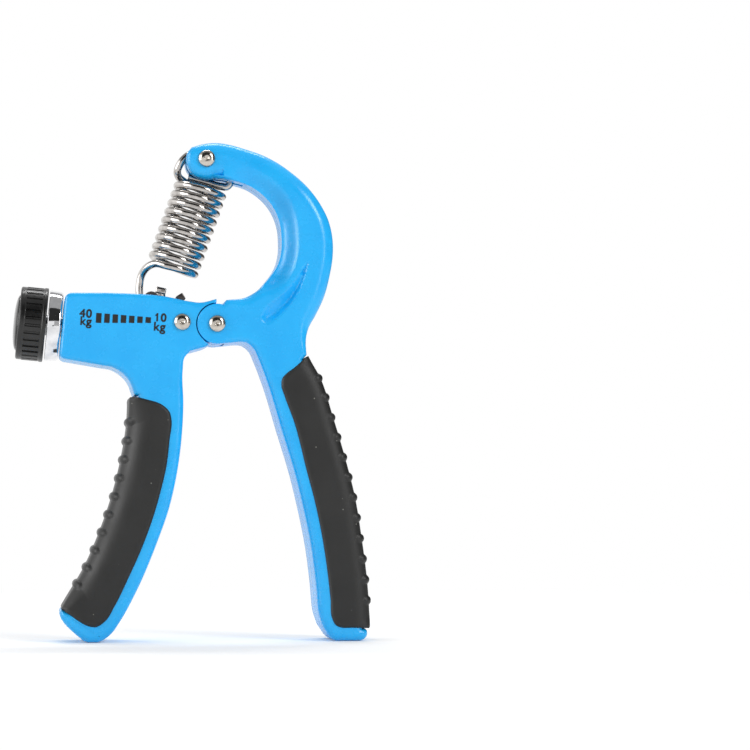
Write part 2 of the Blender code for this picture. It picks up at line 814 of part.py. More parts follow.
def build():
    clear()
    blue = material("blue_plastic", (0.035, 0.42, 0.95), 0.0, 0.32)
    rubber = material("grey_rubber", (0.045, 0.045, 0.042), 0.0, 0.7)
    black = material("black_plastic", (0.012, 0.012, 0.012), 0.0, 0.25)
    chrome = material("chrome", (0.75, 0.75, 0.75), 1.0, 0.08)
    nickel = material("nickel", (0.62, 0.6, 0.57), 1.0, 0.2)
    steel = material("spring_steel", (0.62, 0.61, 0.6), 1.0, 0.16)
    dark = material("dark_steel", (0.18, 0.17, 0.17), 1.0, 0.35)
    nylon = material("white_nylon", (0.8, 0.79, 0.75), 0.0, 0.5)

    trough = [
        on_axis(TROUGH_START, -4.9),
        on_axis(TROUGH_START, 16.0),
        (TROUGH_END_X, 108.0),
        (TROUGH_END_X, 87.4),
        on_axis(32.0, -4.9),
    ]
    for side in (-1, 1):
        shell = build_left(side, blue)
        tag = side_name(side)
        cut(shell, prism(f"trough_{tag}", trough, -TROUGH_HALF, TROUGH_HALF))
        cut(shell, bore(f"pivot_bore_left_{tag}", PIVOT, PIVOT_SHAFT_R + RUN_GAP))
        cut(shell, bore(f"shell_bore_{tag}", SHELL_RIVET, SHELL_SHAFT_R + RUN_GAP, sides=24))
        profile = [(-3, 0), (-3, SCREW_R + RUN_GAP), (9, SCREW_R + RUN_GAP), (9, 0)]
        cut(shell, turned(f"screw_bore_{tag}", profile, None, along_screw(), 32))
    for side in (-1, 1):
        shell = build_right(side, blue)
        tag = side_name(side)
        cut(shell, bore(f"pivot_bore_right_{tag}", PIVOT, PIVOT_SHAFT_R + RUN_GAP))
        cut(shell, bore(f"lug_bore_{tag}", LUG_RIVET, LUG_SHAFT_R + RUN_GAP, sides=24))
        # slot of the lug, where the eye of the spring hangs
        slot = [(-6.0, 133.0), (14.0, 133.0), (13.6, 139.0)] + arc((3.75, 139.7), 9.2, 10, 42, 3)
        slot += [(7.6, 147.0), (3.6, 147.05), (-0.6, 146.3), (-6.0, 144.0)]
        cut(shell, prism(f"eye_slot_{tag}", slot, -1.55, 1.55))

    left_ribs = (0.107, 0.897, 10)
    right_ribs = (0.087, 0.915, 12)
    grip_solid("left_grip", LEFT_GRIP_EDGE, LEFT_GRIP_INNER, left_ribs, rubber)
    grip_solid("right_grip", RIGHT_GRIP_EDGE, RIGHT_GRIP_INNER, right_ribs, rubber)

    rivet("pivot_rivet", PIVOT, PIVOT_SHAFT_R, SHELL_HALF_DEPTH, nickel)
    rivet("shell_rivet", SHELL_RIVET, SHELL_SHAFT_R, SHELL_HALF_DEPTH, nickel)
    rivet("lug_rivet", LUG_RIVET, LUG_SHAFT_R, LUG_HALF_DEPTH, nickel)
    for side in (-1, 1):
        low = TONGUE_HALF + FIT_GAP
        ends = (side * low, side * (low + WASHER_T))
        ends = (min(ends), max(ends))
        hole = PIVOT_SHAFT_R + RUN_GAP
        profile = [(ends[0], hole), (ends[0], WASHER_R), (ends[1], WASHER_R), (ends[1], hole)]
        turned(f"pivot_washer_{side_name(side)}", profile, nylon, along_y(*PIVOT), 32)
    sleeve = [(-1.25, LUG_SHAFT_R + RUN_GAP), (-1.25, SLEEVE_R), (1.25, SLEEVE_R), (1.25, LUG_SHAFT_R + RUN_GAP)]
    turned("eye_sleeve", sleeve, nickel, along_y(*LUG_RIVET), 24)

    # collar, knob and screw share the screw axis
    hole = SCREW_R + 0.4
    collar = [
        (COLLAR_SPAN[1], hole),
        (COLLAR_SPAN[1], COLLAR_R[1] - 0.2),
        (COLLAR_SPAN[1] - 0.2, COLLAR_R[1]),
        (COLLAR_SPAN[0] + 0.3, COLLAR_R[0]),
        (COLLAR_SPAN[0], COLLAR_R[0] - 0.3),
        (COLLAR_SPAN[0], 5.6),
        (COLLAR_SPAN[0] + 1.2, 5.6),
        (COLLAR_SPAN[0] + 1.2, hole),
    ]
    turned("collar", collar, chrome, along_screw(), 40)
    washer = [(-4.3, hole), (-4.3, 5.3), (-3.5, 5.3), (-3.5, hole)]
    turned("thrust_washer", washer, steel, along_screw(), 32)

    start, end = KNOB_SPAN
    knob = [
        (start, CAP_R + FIT_GAP),
        (start, KNOB_VALLEY_R - 0.5),
        (start + 0.9, KNOB_VALLEY_R),
        (start + 1.5, KNOB_VALLEY_R, True),
        (end - 1.5, KNOB_VALLEY_R, True),
        (end - 1.1, KNOB_FLANGE_R),
        (end - 0.2, KNOB_FLANGE_R),
        (end, KNOB_FLANGE_R - 0.25),
        (end, SCREW_R + RUN_GAP),
        (end - 2.0, SCREW_R + RUN_GAP),
        (end - 2.0, CAP_R + FIT_GAP),
    ]
    rise = KNOB_RIB_R - KNOB_VALLEY_R
    wave = (0.0, rise, rise)
    turned("knob_ring", knob, black, along_screw(), KNOB_RIBS * 3, wave=lambda k: wave[k % 3])
    cap = [(-10.4, 0), (-10.4, CAP_R), (start, CAP_R)]
    for k in range(1, 5):
        turn = math.radians(18 * k)
        cap.append((start - (start - CAP_END) * math.sin(turn), CAP_R * (0.06 + 0.94 * math.cos(turn))))
    cap.append((CAP_END, 0))
    turned("knob_cap", cap, black, along_screw(), 40)
    nut = turned("knob_nut", [(-9.4, 0), (-9.4, 5.5), (-7.0, 5.5), (-7.0, 0)], steel, along_screw(), 6)
    profile = [(-12, 0), (-12, SCREW_R + RUN_GAP), (-5, SCREW_R + RUN_GAP), (-5, 0)]
    cut(nut, turned("nut_bore", profile, None, along_screw(), 32))
    screw = [
        (-9.9, 0),
        (-9.9, SCREW_R - 0.5),
        (-9.4, SCREW_R),
        (5.2, SCREW_R),
        (5.2, SCREW_R - 0.5),
        (6.2, SCREW_R - 0.5),
        (6.2, SCREW_R),
        (30.5, SCREW_R),
        (31.0, SCREW_R - 0.5),
        (31.0, 0),
    ]
    turned("adjusting_screw", screw, steel, along_screw(), 32)
    clip = [(5.35, SCREW_R - 0.44), (5.35, 4.3), (6.05, 4.3), (6.05, SCREW_R - 0.44)]
    turned("screw_clip", clip, dark, along_screw(), 24)

    # slider: a block on the screw with two ears that hold the hook pin
    centre = 26.9
    block = [on_axis(centre - 4.0, -4.5), on_axis(centre + 3.6, -4.5), on_axis(centre + 3.6, 4.4), on_axis(centre - 4.0, 4.4)]
    slider = prism("slider_nut", block, -4.1, 4.1, dark)
    ears = [on_axis(centre - 3.4, 3.8), on_axis(centre + 2.4, 3.8)] + arc(HOOK_PIN, 2.3, -15, 195, 10)
    for side in (-1, 1):
        ends = sorted((side * 1.8, side * 3.4))
        cut(slider, prism(f"ear_{side_name(side)}", ears, *ends), "UNION")
    profile = [(centre - 9, 0), (centre - 9, SCREW_R + RUN_GAP), (centre + 9, SCREW_R + RUN_GAP), (centre + 9, 0)]
    cut(slider, turned("slider_bore", profile, None, along_screw(), 32))
    cut(slider, bore("hook_pin_bore", HOOK_PIN, 1.3 + RUN_GAP, 6.0, 20))
    # room below the hook
    well = [(-17.2, 97.0), (-7.6, 96.3), (-7.6, 106.0), (-17.2, 106.0)]
    cut(slider, prism("hook_well", well, -1.8, 1.8))
    pin = [(-4.0, 0), (-4.0, 1.1), (-3.8, 1.3), (3.8, 1.3), (4.0, 1.1), (4.0, 0)]
    turned("hook_pin", pin, steel, along_y(*HOOK_PIN), 20)
    tip = [(-0.5, 0), (-0.5, 1.25), (-0.3, 1.42), (0.3, 1.42), (0.5, 1.2), (0.5, 0)]
    place = Matrix.Translation(Vector((-9.0, 0, 104.35)) * MM) @ Matrix.Rotation(-math.pi / 2, 4, "Y")
    turned("hook_end_cap", tip, nickel, place, 20)

    # bracket: two plates and a web that stiffen the end of the trough
    plate = [(-6.6, 99.45), (-3.3, 101.95), (0.0, 97.55), (0.0, 88.2), (-6.6, 88.2)]
    bracket = prism("screw_end_bracket", plate, -4.0, 4.0, dark)
    gap = [(-8.0, 86.0), (-8.0, 104.0), (-1.3, 104.0), (-1.3, 86.0)]
    cut(bracket, prism("bracket_gap", gap, -2.8, 2.8))
    cut(bracket, bore("bracket_bore", SHELL_RIVET, SHELL_SHAFT_R + RUN_GAP, 6.0, 24))

    build_spring(steel)


build()
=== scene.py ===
import math

import bmesh
import bpy
import numpy as np
from mathutils import Matrix, Vector


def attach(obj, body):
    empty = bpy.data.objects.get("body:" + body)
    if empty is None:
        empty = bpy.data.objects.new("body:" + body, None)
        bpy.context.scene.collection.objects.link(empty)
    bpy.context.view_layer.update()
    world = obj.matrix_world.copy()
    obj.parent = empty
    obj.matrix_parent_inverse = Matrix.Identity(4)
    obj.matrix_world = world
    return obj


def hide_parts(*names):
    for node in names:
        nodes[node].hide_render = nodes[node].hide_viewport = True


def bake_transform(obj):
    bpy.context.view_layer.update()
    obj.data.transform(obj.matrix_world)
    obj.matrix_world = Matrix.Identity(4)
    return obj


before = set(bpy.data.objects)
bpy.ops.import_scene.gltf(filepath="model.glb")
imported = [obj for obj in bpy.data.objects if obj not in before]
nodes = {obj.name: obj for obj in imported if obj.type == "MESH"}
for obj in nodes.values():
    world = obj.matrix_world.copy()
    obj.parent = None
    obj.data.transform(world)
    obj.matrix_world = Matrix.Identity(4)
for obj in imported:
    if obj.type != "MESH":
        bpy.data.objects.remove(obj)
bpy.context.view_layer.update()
mm = 0.001

# the hinge, the other rivets and the screw's line, as (x, z) in millimetres
pivot = (6.95, 93.6)
shellRivet = (-3.35, 94.0)
lugRivet = (3.95, 142.9)
screwStart = (-38.5, 92.92)
screwTilt = math.radians(5.1)
knuckleR = 5.95


# ---------- small helpers ----------
def toLinear(hexColour):
    parts = [int(hexColour[i:i + 2], 16) / 255 for i in (1, 3, 5)]
    return tuple(c / 12.92 if c <= 0.04045 else ((c + 0.055) / 1.055) ** 2.4 for c in parts) + (1.0,)


def setInputs(tree, node, inputs):
    # each input as a value, or as a socket to link
    for key, value in inputs.items():
        if isinstance(value, bpy.types.NodeSocket):
            tree.links.new(value, node.inputs[key])
        else:
            node.inputs[key].default_value = value


def addNode(tree, kind, settings=None, inputs=None):
    node = tree.nodes.new(kind)
    for key, value in (settings or {}).items():
        setattr(node, key, value)
    setInputs(tree, node, inputs or {})
    return node


def smoothLine(points, step=1.2):
    # a smooth run through the points, in pieces about a step long
    count = len(points)
    gaps = [math.dist(points[i], points[i + 1]) for i in range(count - 1)]
    slopes = []
    for i in range(count):
        if i in (0, count - 1):
            a, b = (0, 1) if i == 0 else (count - 2, count - 1)
            slopes.append([(q - p) / gaps[a] for p, q in zip(points[a], points[b])])
            continue
        share = gaps[i - 1] / (gaps[i - 1] + gaps[i])
        before = [(q - p) / gaps[i - 1] for p, q in zip(points[i - 1], points[i])]
        after = [(q - p) / gaps[i] for p, q in zip(points[i], points[i + 1])]
        slopes.append([p * (1 - share) + q * share for p, q in zip(before, after)])
    line = [tuple(points[0])]
    for i in range(count - 1):
        pieces = max(1, round(gaps[i] / step))
        for k in range(1, pieces + 1):
            t = k / pieces
            weights = (2 * t**3 - 3 * t**2 + 1, (t**3 - 2 * t**2 + t) * gaps[i],
                       3 * t**2 - 2 * t**3, (t**3 - t**2) * gaps[i])
            parts = zip(points[i], slopes[i], points[i + 1], slopes[i + 1])
            line.append(tuple(sum(w * p for w, p in zip(weights, four)) for four in parts))
    return line


def arcLine(centre, radius, start, end, pieces):
    angles = [math.radians(start + (end - start) * k / pieces) for k in range(pieces + 1)]
    return [(centre[0] + radius * math.cos(a), centre[1] + radius * math.sin(a)) for a in angles]


def offsetLine(line, distance):
    # an open line moved to its right
    moved = []
    for i, (x, z) in enumerate(line):
        ax, az = line[max(i - 1, 0)]
        bx, bz = line[min(i + 1, len(line) - 1)]
        length = math.hypot(bx - ax, bz - az)
        moved.append((x + (bz - az) / length * distance, z - (bx - ax) / length * distance))
    return moved


def onScrew(along, up):
    # a place along the screw's line and up from it, as (x, z)
    x = screwStart[0] + along * math.cos(screwTilt) + up * math.sin(screwTilt)
    z = screwStart[1] - along * math.sin(screwTilt) + up * math.cos(screwTilt)
    return (x, z)


def cleanLoop(points, least=0.25):
    # the closed loop without points nearer than that to the one before
    kept = []
    for p in points:
        if not kept or math.dist(p, kept[-1]) > least:
            kept.append(p)
    if math.dist(kept[0], kept[-1]) < least:
        kept.pop()
    return kept


def awayFrom(points, line, closed=True):
    # distance from each point to a line of points, all in millimetres
    p = np.asarray(points, float)
    a = np.asarray(line, float)
    b = np.roll(a, -1, axis=0) if closed else a[1:]
    a = a if closed else a[:-1]
    best = np.full(len(p), 1e9)
    for start, end in zip(a, b):
        span = end - start
        t = np.clip(((p - start) @ span) / max(span @ span, 1e-12), 0, 1)
        best = np.minimum(best, np.linalg.norm(p - (start + t[:, None] * span), axis=1))
    return best


def within(points, loop):
    # which points lie inside a closed loop
    p = np.asarray(points, float)
    found = np.zeros(len(p), bool)
    for (ax, az), (bx, bz) in zip(loop, loop[1:] + loop[:1]):
        crosses = (az > p[:, 1]) != (bz > p[:, 1])
        at = (bx - ax) * (p[:, 1] - az) / ((bz - az) if bz != az else 1e-12) + ax
        found ^= crosses & (p[:, 0] < at)
    return found


def softStep(t):
    t = np.clip(t, 0.0, 1.0)
    return t * t * (3 - 2 * t)


def shareOf(value, change):
    # 0 to 1 over a change given as its start and its length, which is negative where values fall
    return np.clip((value - change[0]) / change[1], 0, 1)


def easeOver(value, change):
    return softStep(shareOf(value, change))


def meshOf(name, bm):
    mesh = bpy.data.meshes.new(name)
    bm.to_mesh(mesh)
    bm.free()
    return mesh


def placed(name, data):
    made = bpy.data.objects.new(name, data)
    bpy.context.scene.collection.objects.link(made)
    return made


def makePiece(name, bm, finish, body, stands=(), sharp=38.0):
    # the bmesh in millimetres becomes a piece that rides on its body
    bmesh.ops.scale(bm, vec=(mm, mm, mm), verts=bm.verts)
    limit = math.radians(sharp)
    for edge in bm.edges:
        edge.smooth = len(edge.link_faces) != 2 or edge.calc_face_angle(0.0) < limit
    for face in bm.faces:
        face.smooth = True
    mesh = meshOf(name, bm)
    piece = placed(name, mesh)
    mesh.materials.append(finish)
    if body:
        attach(piece, body)
    if stands:
        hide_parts(*stands)
    return piece


def solidHelper(name, bm):
    bmesh.ops.recalc_face_normals(bm, faces=bm.faces)
    return placed(name, meshOf(name, bm))


def asDrawn(helper):
    # a helper object's final surface as a bmesh; the helper goes
    bpy.context.view_layer.update()
    seen = helper.evaluated_get(bpy.context.evaluated_depsgraph_get())
    bm = bmesh.new()
    bm.from_mesh(seen.to_mesh())
    seen.to_mesh_clear()
    bpy.data.objects.remove(helper, do_unlink=True)
    return bm


def joined(bm, nearest):
    bmesh.ops.remove_doubles(bm, verts=bm.verts, dist=nearest)
    bmesh.ops.recalc_face_normals(bm, faces=bm.faces)
    return bm


def bevelEdges(bm, edges, offset, segments):
    bmesh.ops.bevel(bm, geom=edges, offset=offset, offset_type="OFFSET", affect="EDGES",
                    segments=segments, profile=0.5, material=-1)


def extruded(bm, face, depth):
    made = bmesh.ops.extrude_face_region(bm, geom=[face])["geom"]
    bmesh.ops.translate(bm, verts=[v for v in made if isinstance(v, bmesh.types.BMVert)], vec=(0, depth, 0))
    return made


def slabOf(outline, low, high):
    # a straight block over an x-z outline, between two depths
    bm = bmesh.new()
    extruded(bm, bm.faces.new([bm.verts.new((x, low, z)) for x, z in outline]), high - low)
    return bm


def carve(bm, cutters):
    # the solid less the helper solids, by the exact boolean
    base = solidHelper("carved", bm)
    helpers = [solidHelper("cutter", cutter) for cutter in cutters]
    for helper in helpers:
        step = base.modifiers.new("cut", "BOOLEAN")
        step.operation = "DIFFERENCE"
        step.solver = "EXACT"
        step.object = helper
    made = asDrawn(base)
    for helper in helpers:
        bpy.data.objects.remove(helper, do_unlink=True)
    bmesh.ops.remove_doubles(made, verts=made.verts, dist=0.0005)
    return made


def turned(profile, steps, axis="Y", bm=None):
    # a profile of (along, radius) spun round an axis, closed where it meets the axis
    bm = bm or bmesh.new()
    spots = [bm.verts.new((r, along, 0) if axis == "Y" else (along, r, 0)) for along, r in profile]
    edges = [bm.edges.new(pair) for pair in zip(spots, spots[1:])]
    bmesh.ops.spin(bm, geom=spots + edges, cent=(0, 0, 0), axis=(0, 1, 0) if axis == "Y" else (1, 0, 0),
                   dvec=(0, 0, 0), angle=2 * math.pi, steps=steps, use_merge=True, use_duplicate=False)
    return joined(bm, 0.0002)


def alongScrew(bm):
    # from a shape's own X axis onto the screw's line
    place = Matrix.Translation((screwStart[0], 0, screwStart[1])) @ Matrix.Rotation(screwTilt, 4, "Y")
    bmesh.ops.transform(bm, matrix=place, verts=bm.verts)
    return bm


def tubeAlong(points, radius, sides):
    # a round wire along its points, with closed ends
    data = bpy.data.curves.new("wire", "CURVE")
    data.dimensions = "3D"
    data.bevel_depth = radius
    data.bevel_resolution = sides
    data.use_fill_caps = True
    line = data.splines.new("POLY")
    line.points.add(len(points) - 1)
    for spot, p in zip(line.points, points):
        spot.co = (*p, 1.0)
    return joined(asDrawn(placed("wire", data)), 0.0005)


# ---------- finishes ----------
# nearly all values of a noise lie in the wide range, most of them in the middle one
middle, wide = (0.35, 0.65), (0.3, 0.7)


def startFinish(name):
    made = bpy.data.materials.new(name)
    made.use_nodes = True
    tree = made.node_tree
    where = addNode(tree, "ShaderNodeTexCoord").outputs["Object"]
    return made, tree, tree.nodes["Principled BSDF"], where


def grain(tree, where, size, detail=2.0, rough=0.5):
    # noise whose cells are about that many millimetres
    return addNode(tree, "ShaderNodeTexNoise", None,
                   {"Vector": where, "Scale": 1.0 / (size * mm), "Detail": detail,
                    "Roughness": rough}).outputs["Fac"]


def spread(tree, value, between, low, high):
    # from low to high while the value crosses the range
    return addNode(tree, "ShaderNodeMapRange", None,
                   {"Value": value, "From Min": between[0], "From Max": between[1],
                    "To Min": low, "To Max": high}).outputs["Result"]


def mixed(tree, share, first, second):
    return addNode(tree, "ShaderNodeMix", {"data_type": "RGBA"}, {0: share, 6: first, 7: second}).outputs[2]


def shade(tree, value, between, dark, light):
    # from the dark colour to the light one while the value crosses the range
    return mixed(tree, spread(tree, value, between, 0, 1), toLinear(dark), toLinear(light))


def bumpOf(tree, height, strength, depth, under=None):
    # a bump that deep in millimetres, over another one
    inputs = {"Height": height, "Strength": strength, "Distance": depth * mm}
    if under:
        inputs["Normal"] = under
    return addNode(tree, "ShaderNodeBump", None, inputs).outputs["Normal"]


def makeBluePlastic():
    # ABS, injection moulded in a finely eroded tool: an even satin sheen with a faint orange-peel wave
    look = {"colours": ("#10A9EF", "#18AFF3"), "rough": (0.23, 0.29), "ior": 1.53, "patch": 2.5,
            "wave": 9.0, "waveBump": (0.06, 0.2), "tool": 0.45, "toolBump": (0.05, 0.015)}
    made, tree, shader, where = startFinish("mouldedAbsBlue")
    wave = grain(tree, where, look["wave"], 3.0)
    tool = grain(tree, where, look["tool"], 2.0, 0.6)
    patch = grain(tree, where, look["patch"], 4.0)
    setInputs(tree, shader, {
        "Base Color": shade(tree, wave, middle, *look["colours"]),
        "Roughness": spread(tree, patch, wide, *look["rough"]),
        "Normal": bumpOf(tree, tool, *look["toolBump"], bumpOf(tree, wave, *look["waveBump"])),
        "IOR": look["ior"]})
    return made


def makeGreyRubber():
    # TPR over-mould, matt from a sanded tool, with pale dust caught in its grain
    look = {"colours": ("#131312", "#1B1B1A"), "between": (0.32, 0.68), "rough": (0.42, 0.54), "ior": 1.5,
            "patch": 12.0, "wave": 1.6, "waveBump": (0.12, 0.12), "grain": 0.35, "grainBump": (0.35, 0.05),
            "dust": "#86867F", "dustCell": 4.2, "dustEdge": (0.03, 0.055), "dustShows": 0.75}
    made, tree, shader, where = startFinish("mouldedRubberGrey")
    patch = grain(tree, where, look["patch"], 4.0, 0.55)
    fine = grain(tree, where, look["grain"], 3.0, 0.7)
    coarse = grain(tree, where, look["wave"], 3.0)
    # single specks, one to a cell and about 0.3 mm wide
    specks = addNode(tree, "ShaderNodeTexVoronoi", {"feature": "F1"},
                     {"Vector": where, "Scale": 1.0 / (look["dustCell"] * mm), "Randomness": 1.0})
    isSpeck = spread(tree, specks.outputs["Distance"], look["dustEdge"], look["dustShows"], 0.0)
    base = shade(tree, patch, look["between"], *look["colours"])
    setInputs(tree, shader, {
        "Base Color": mixed(tree, isSpeck, base, toLinear(look["dust"])),
        "Roughness": spread(tree, patch, wide, *look["rough"]),
        "Normal": bumpOf(tree, fine, *look["grainBump"], bumpOf(tree, coarse, *look["waveBump"])),
        "IOR": look["ior"]})
    return made


def makeBlackPlastic(name, roughness, light):
    # black ABS: the knob satin from its ribs' tool, the cap polished
    look = {"dark": "#0D0D0D", "cloud": 5.0, "patch": 1.2, "rough": (0.85, 1.2), "tool": 0.4,
            "bump": 0.12, "bumpDepth": 0.03, "ior": 1.53}
    made, tree, shader, where = startFinish(name)
    cloud = grain(tree, where, look["cloud"], 3.0)
    patch = grain(tree, where, look["patch"], 4.0)
    tool = grain(tree, where, look["tool"], 2.0)
    setInputs(tree, shader, {
        "Base Color": shade(tree, cloud, wide, look["dark"], light),
        "Roughness": spread(tree, patch, wide, *(roughness * share for share in look["rough"])),
        "Normal": bumpOf(tree, tool, look["bump"] * roughness, look["bumpDepth"]),
        "IOR": look["ior"]})
    return made


def makeMetal(name, colours, rough, scratch, patch=3.0, bump=0.02):
    # plated or drawn steel: mirror-like with cloudy handling marks and fine scratches in the bump
    made, tree, shader, where = startFinish(name)
    cloud = grain(tree, where, patch, 4.0, 0.6)
    scratches = grain(tree, where, scratch, 3.0, 0.6)
    setInputs(tree, shader, {
        "Base Color": shade(tree, cloud, middle, *colours),
        "Roughness": spread(tree, cloud, wide, *rough),
        "Normal": bumpOf(tree, scratches, bump, 0.05),
        "Metallic": 1.0})
    return made


def makeNylon():
    # natural nylon, punched from sheet: milky and waxy
    made, tree, shader, where = startFinish("sheetNylon")
    setInputs(tree, shader, {
        "Base Color": shade(tree, grain(tree, where, 2.0, 3.0), (0, 1), "#E2DFD6", "#EFECE4"),
        "Normal": bumpOf(tree, grain(tree, where, 0.3, 2.0), 0.1, 0.03),
        "Roughness": 0.45})
    return made


def makeInk():
    # pad-printed black ink: a thin, slightly uneven, half-matt film
    made, tree, shader, where = startFinish("padPrintInk")
    setInputs(tree, shader, {
        "Base Color": shade(tree, grain(tree, where, 0.5, 3.0), (0.3, 0.75), "#0B0A0A", "#181717"),
        "Roughness": 0.5})
    return made


bluePlastic = makeBluePlastic()
greyRubber = makeGreyRubber()
knobPlastic = makeBlackPlastic("satinAbsBlack", 0.3, "#191919")
capPlastic = makeBlackPlastic("polishedAbsBlack", 0.13, "#1C1C1C")
# bright chrome on the collar, warm nickel on the rivets and wire drawn bright
chromePlate = makeMetal("chromePlate", ("#D9DADD", "#EDEDEF"), (0.04, 0.09), 0.6)
nickelPlate = makeMetal("nickelPlate", ("#BCB5AB", "#D3CCC3"), (0.10, 0.18), 0.5, 1.5, 0.05)
springSteel = makeMetal("drawnSpringSteel", ("#A9A5A1", "#C9C5C1"), (0.07, 0.15), 0.35, 2.0, 0.03)
# duller zinc and blackened steel for the parts inside the arm
zincSteel = makeMetal("zincPlatedSteel", ("#AEB0B2", "#C9CBCC"), (0.22, 0.34), 0.3, 1.5, 0.08)
darkSteel = makeMetal("blackenedSteel", ("#4A4644", "#6A6562"), (0.28, 0.42), 0.3, 1.2, 0.15)
nylonSheet = makeNylon()
printInk = makeInk()
print("finishes made")


# ---------- blue half shells ----------
# places are (x, z) in millimetres; a change is where it starts and over what length
leftShape = {
    "armEnd": [onScrew(0.65, -9.55), onScrew(0.2, -9.15), onScrew(0.0, -8.5)],
    "corner": (2.2, 7.4), "cornerR": (2.2, 2.3), "topStart": onScrew(2.8, 9.78), "armFoot": onScrew(1.4, -9.9),
    "top": [(-21.8, 102.4), (-8.6, 101.6), (-1.2, 100.2), (1.8, 99.85), (6.85, 101.0)],
    "knuckleFoot": [(4.75, 87.3), (3.1, 86.6)],
    "innerEdge": [(-0.9, 85.5), (-2.6, 83.6), (-3.1, 80.0), (-2.85, 69.8), (-3.35, 59.6), (-4.65, 49.5),
                  (-7.05, 38.8), (-10.35, 29.3), (-16.35, 15.0), (-21.45, 5.6), (-23.6, 2.6), (-26.2, 0.6),
                  (-27.6, 0.0)],
    "tipStart": (-30.4, 0.0),
    "tip": [(-31.8, 0.5), (-35.0, 3.2), (-37.7, 6.0), (-38.7, 7.8), (-38.75, 8.9), (-38.3, 9.6)],
    "tipEnd": [(-37.6, 9.55), (-36.9, 9.25), (-36.0, 9.2)],
    "gripEdge": [(-37.6, 11.3), (-31.3, 22.2), (-26.8, 32.8), (-23.2, 43.6), (-20.7, 54.2), (-19.1, 64.7),
                 (-18.5, 71.2)],
    "gripStep": (-16.3, 72.25), "armpit": [(-17.3, 72.4), (-19.0, 76.8), (-23.4, 80.4), (-27.6, 81.2)],
    "halfDepth": 10.5, "edge": 1.2, "handleEdge": 2.0, "handleRound": (84, -12),
    "tongue": 4.9, "seatR": 6.25, "seatEnd": [(6.3, 85.6), (14.5, 84.0), (14.5, 102.5), (6.75, 102.5)],
    "troughHalf": 4.4,
    "trough": [onScrew(5.0, -4.9), onScrew(5.0, 16.0), (0.3, 108.0), (0.3, 87.4), onScrew(32.0, -4.9)],
}
rightShape = {
    "ringStart": (8.75, 99.4), "lugR": 5.95, "gripStep": (32.3, 83.1),
    "gripEdge": [(34.2, 84.2), (37.6, 77.9), (41.4, 66.4), (45.0, 54.4), (48.0, 42.7), (50.0, 30.6), (51.6, 18.4),
                 (52.3, 9.0), (52.4, 5.0)],
    "tip": [(50.25, 3.6), (51.2, 3.55), (51.7, 3.1), (51.85, 2.3), (51.6, 1.2), (50.8, 0.4), (49.6, 0.0),
            (42.6, 0.0), (41.6, 0.3), (40.6, 1.2)],
    "innerEdge": [(38.6, 4.2), (37.5, 7.3), (36.5, 16.0), (35.2, 26.3), (32.4, 40.2), (30.2, 49.1), (26.2, 62.2),
                  (22.0, 76.0), (19.2, 83.4), (17.9, 86.2), (15.6, 88.1), (12.9, 88.25)],
    "ringOuter": [(-0.4, 146.4), (3.45, 147.7), (7.75, 148.09), (12.05, 147.4), (16.25, 146.2), (20.55, 144.7),
                  (24.85, 142.5), (29.05, 139.5), (33.45, 135.6), (37.75, 130.1), (40.35, 125.0), (41.65, 119.1),
                  (41.65, 113.9), (40.75, 108.4), (39.05, 102.0), (36.45, 96.4), (34.5, 93.0), (33.6, 90.2),
                  (33.4, 87.2), (33.6, 84.6)],
    "ringInner": [(9.7, 100.7), (15.2, 101.5), (18.9, 103.6), (22.4, 107.2), (25.4, 111.9), (26.3, 115.6),
                  (26.4, 119.5), (25.7, 124.6), (23.5, 129.3), (20.0, 133.0), (15.7, 135.5), (12.3, 136.4),
                  (9.0, 137.2)],
    "halfDepth": 10.5, "lugHalfDepth": 7.0, "thinUp": (108, 34), "thinLeft": (40, -26),
    "edge": 1.4, "handleEdge": 2.0, "handleRound": (84, -12), "cheekEdge": 0.35, "cheekReach": (6.4, 1.5),
    "ringEdge": 4.2, "ringUp": (84, 15), "ringRight": (-3, 10), "pastNotch": (15, 7), "overTop": (122, 8),
    "innerEdgeLow": 2.8, "innerLow": (113, -8), "innerRight": (10.5, 6),
    "coveWidth": 5.4, "rimHalf": 6.0, "coveUp": (101.6, 7.0), "coveRight": (9.5, 7.0),
    "crescentLower": [(22.9, 94.0), (26.6, 97.0), (30.7, 102.4), (33.1, 108.2), (34.0, 112.6), (31.1, 108.3)],
    "crescentUpper": [(31.1, 108.3), (27.0, 103.2), (20.7, 97.6), (20.0, 95.4), (21.2, 93.8), (22.9, 94.0)],
    "crescentDepth": 1.9, "crescentFull": 4.0,
    "crescentFloor": ([0, 0.1, 0.2, 0.45, 0.62, 0.75, 0.88, 1.0], [0.0, 0.2, 0.4, 0.78, 1.0, 0.82, 0.3, 0.0]),
    "cheekInner": 6.0, "roomR": 6.25, "slotHalf": 1.55,
    "slot": [(-6.0, 133.0), (15.3, 133.0), (15.1, 138.6), (14.6, 140.8), (13.3, 143.4), (11.6, 145.5), (9.6, 146.6),
             (7.6, 147.0), (3.6, 147.05), (-0.6, 146.3), (-6.0, 144.0)],
}
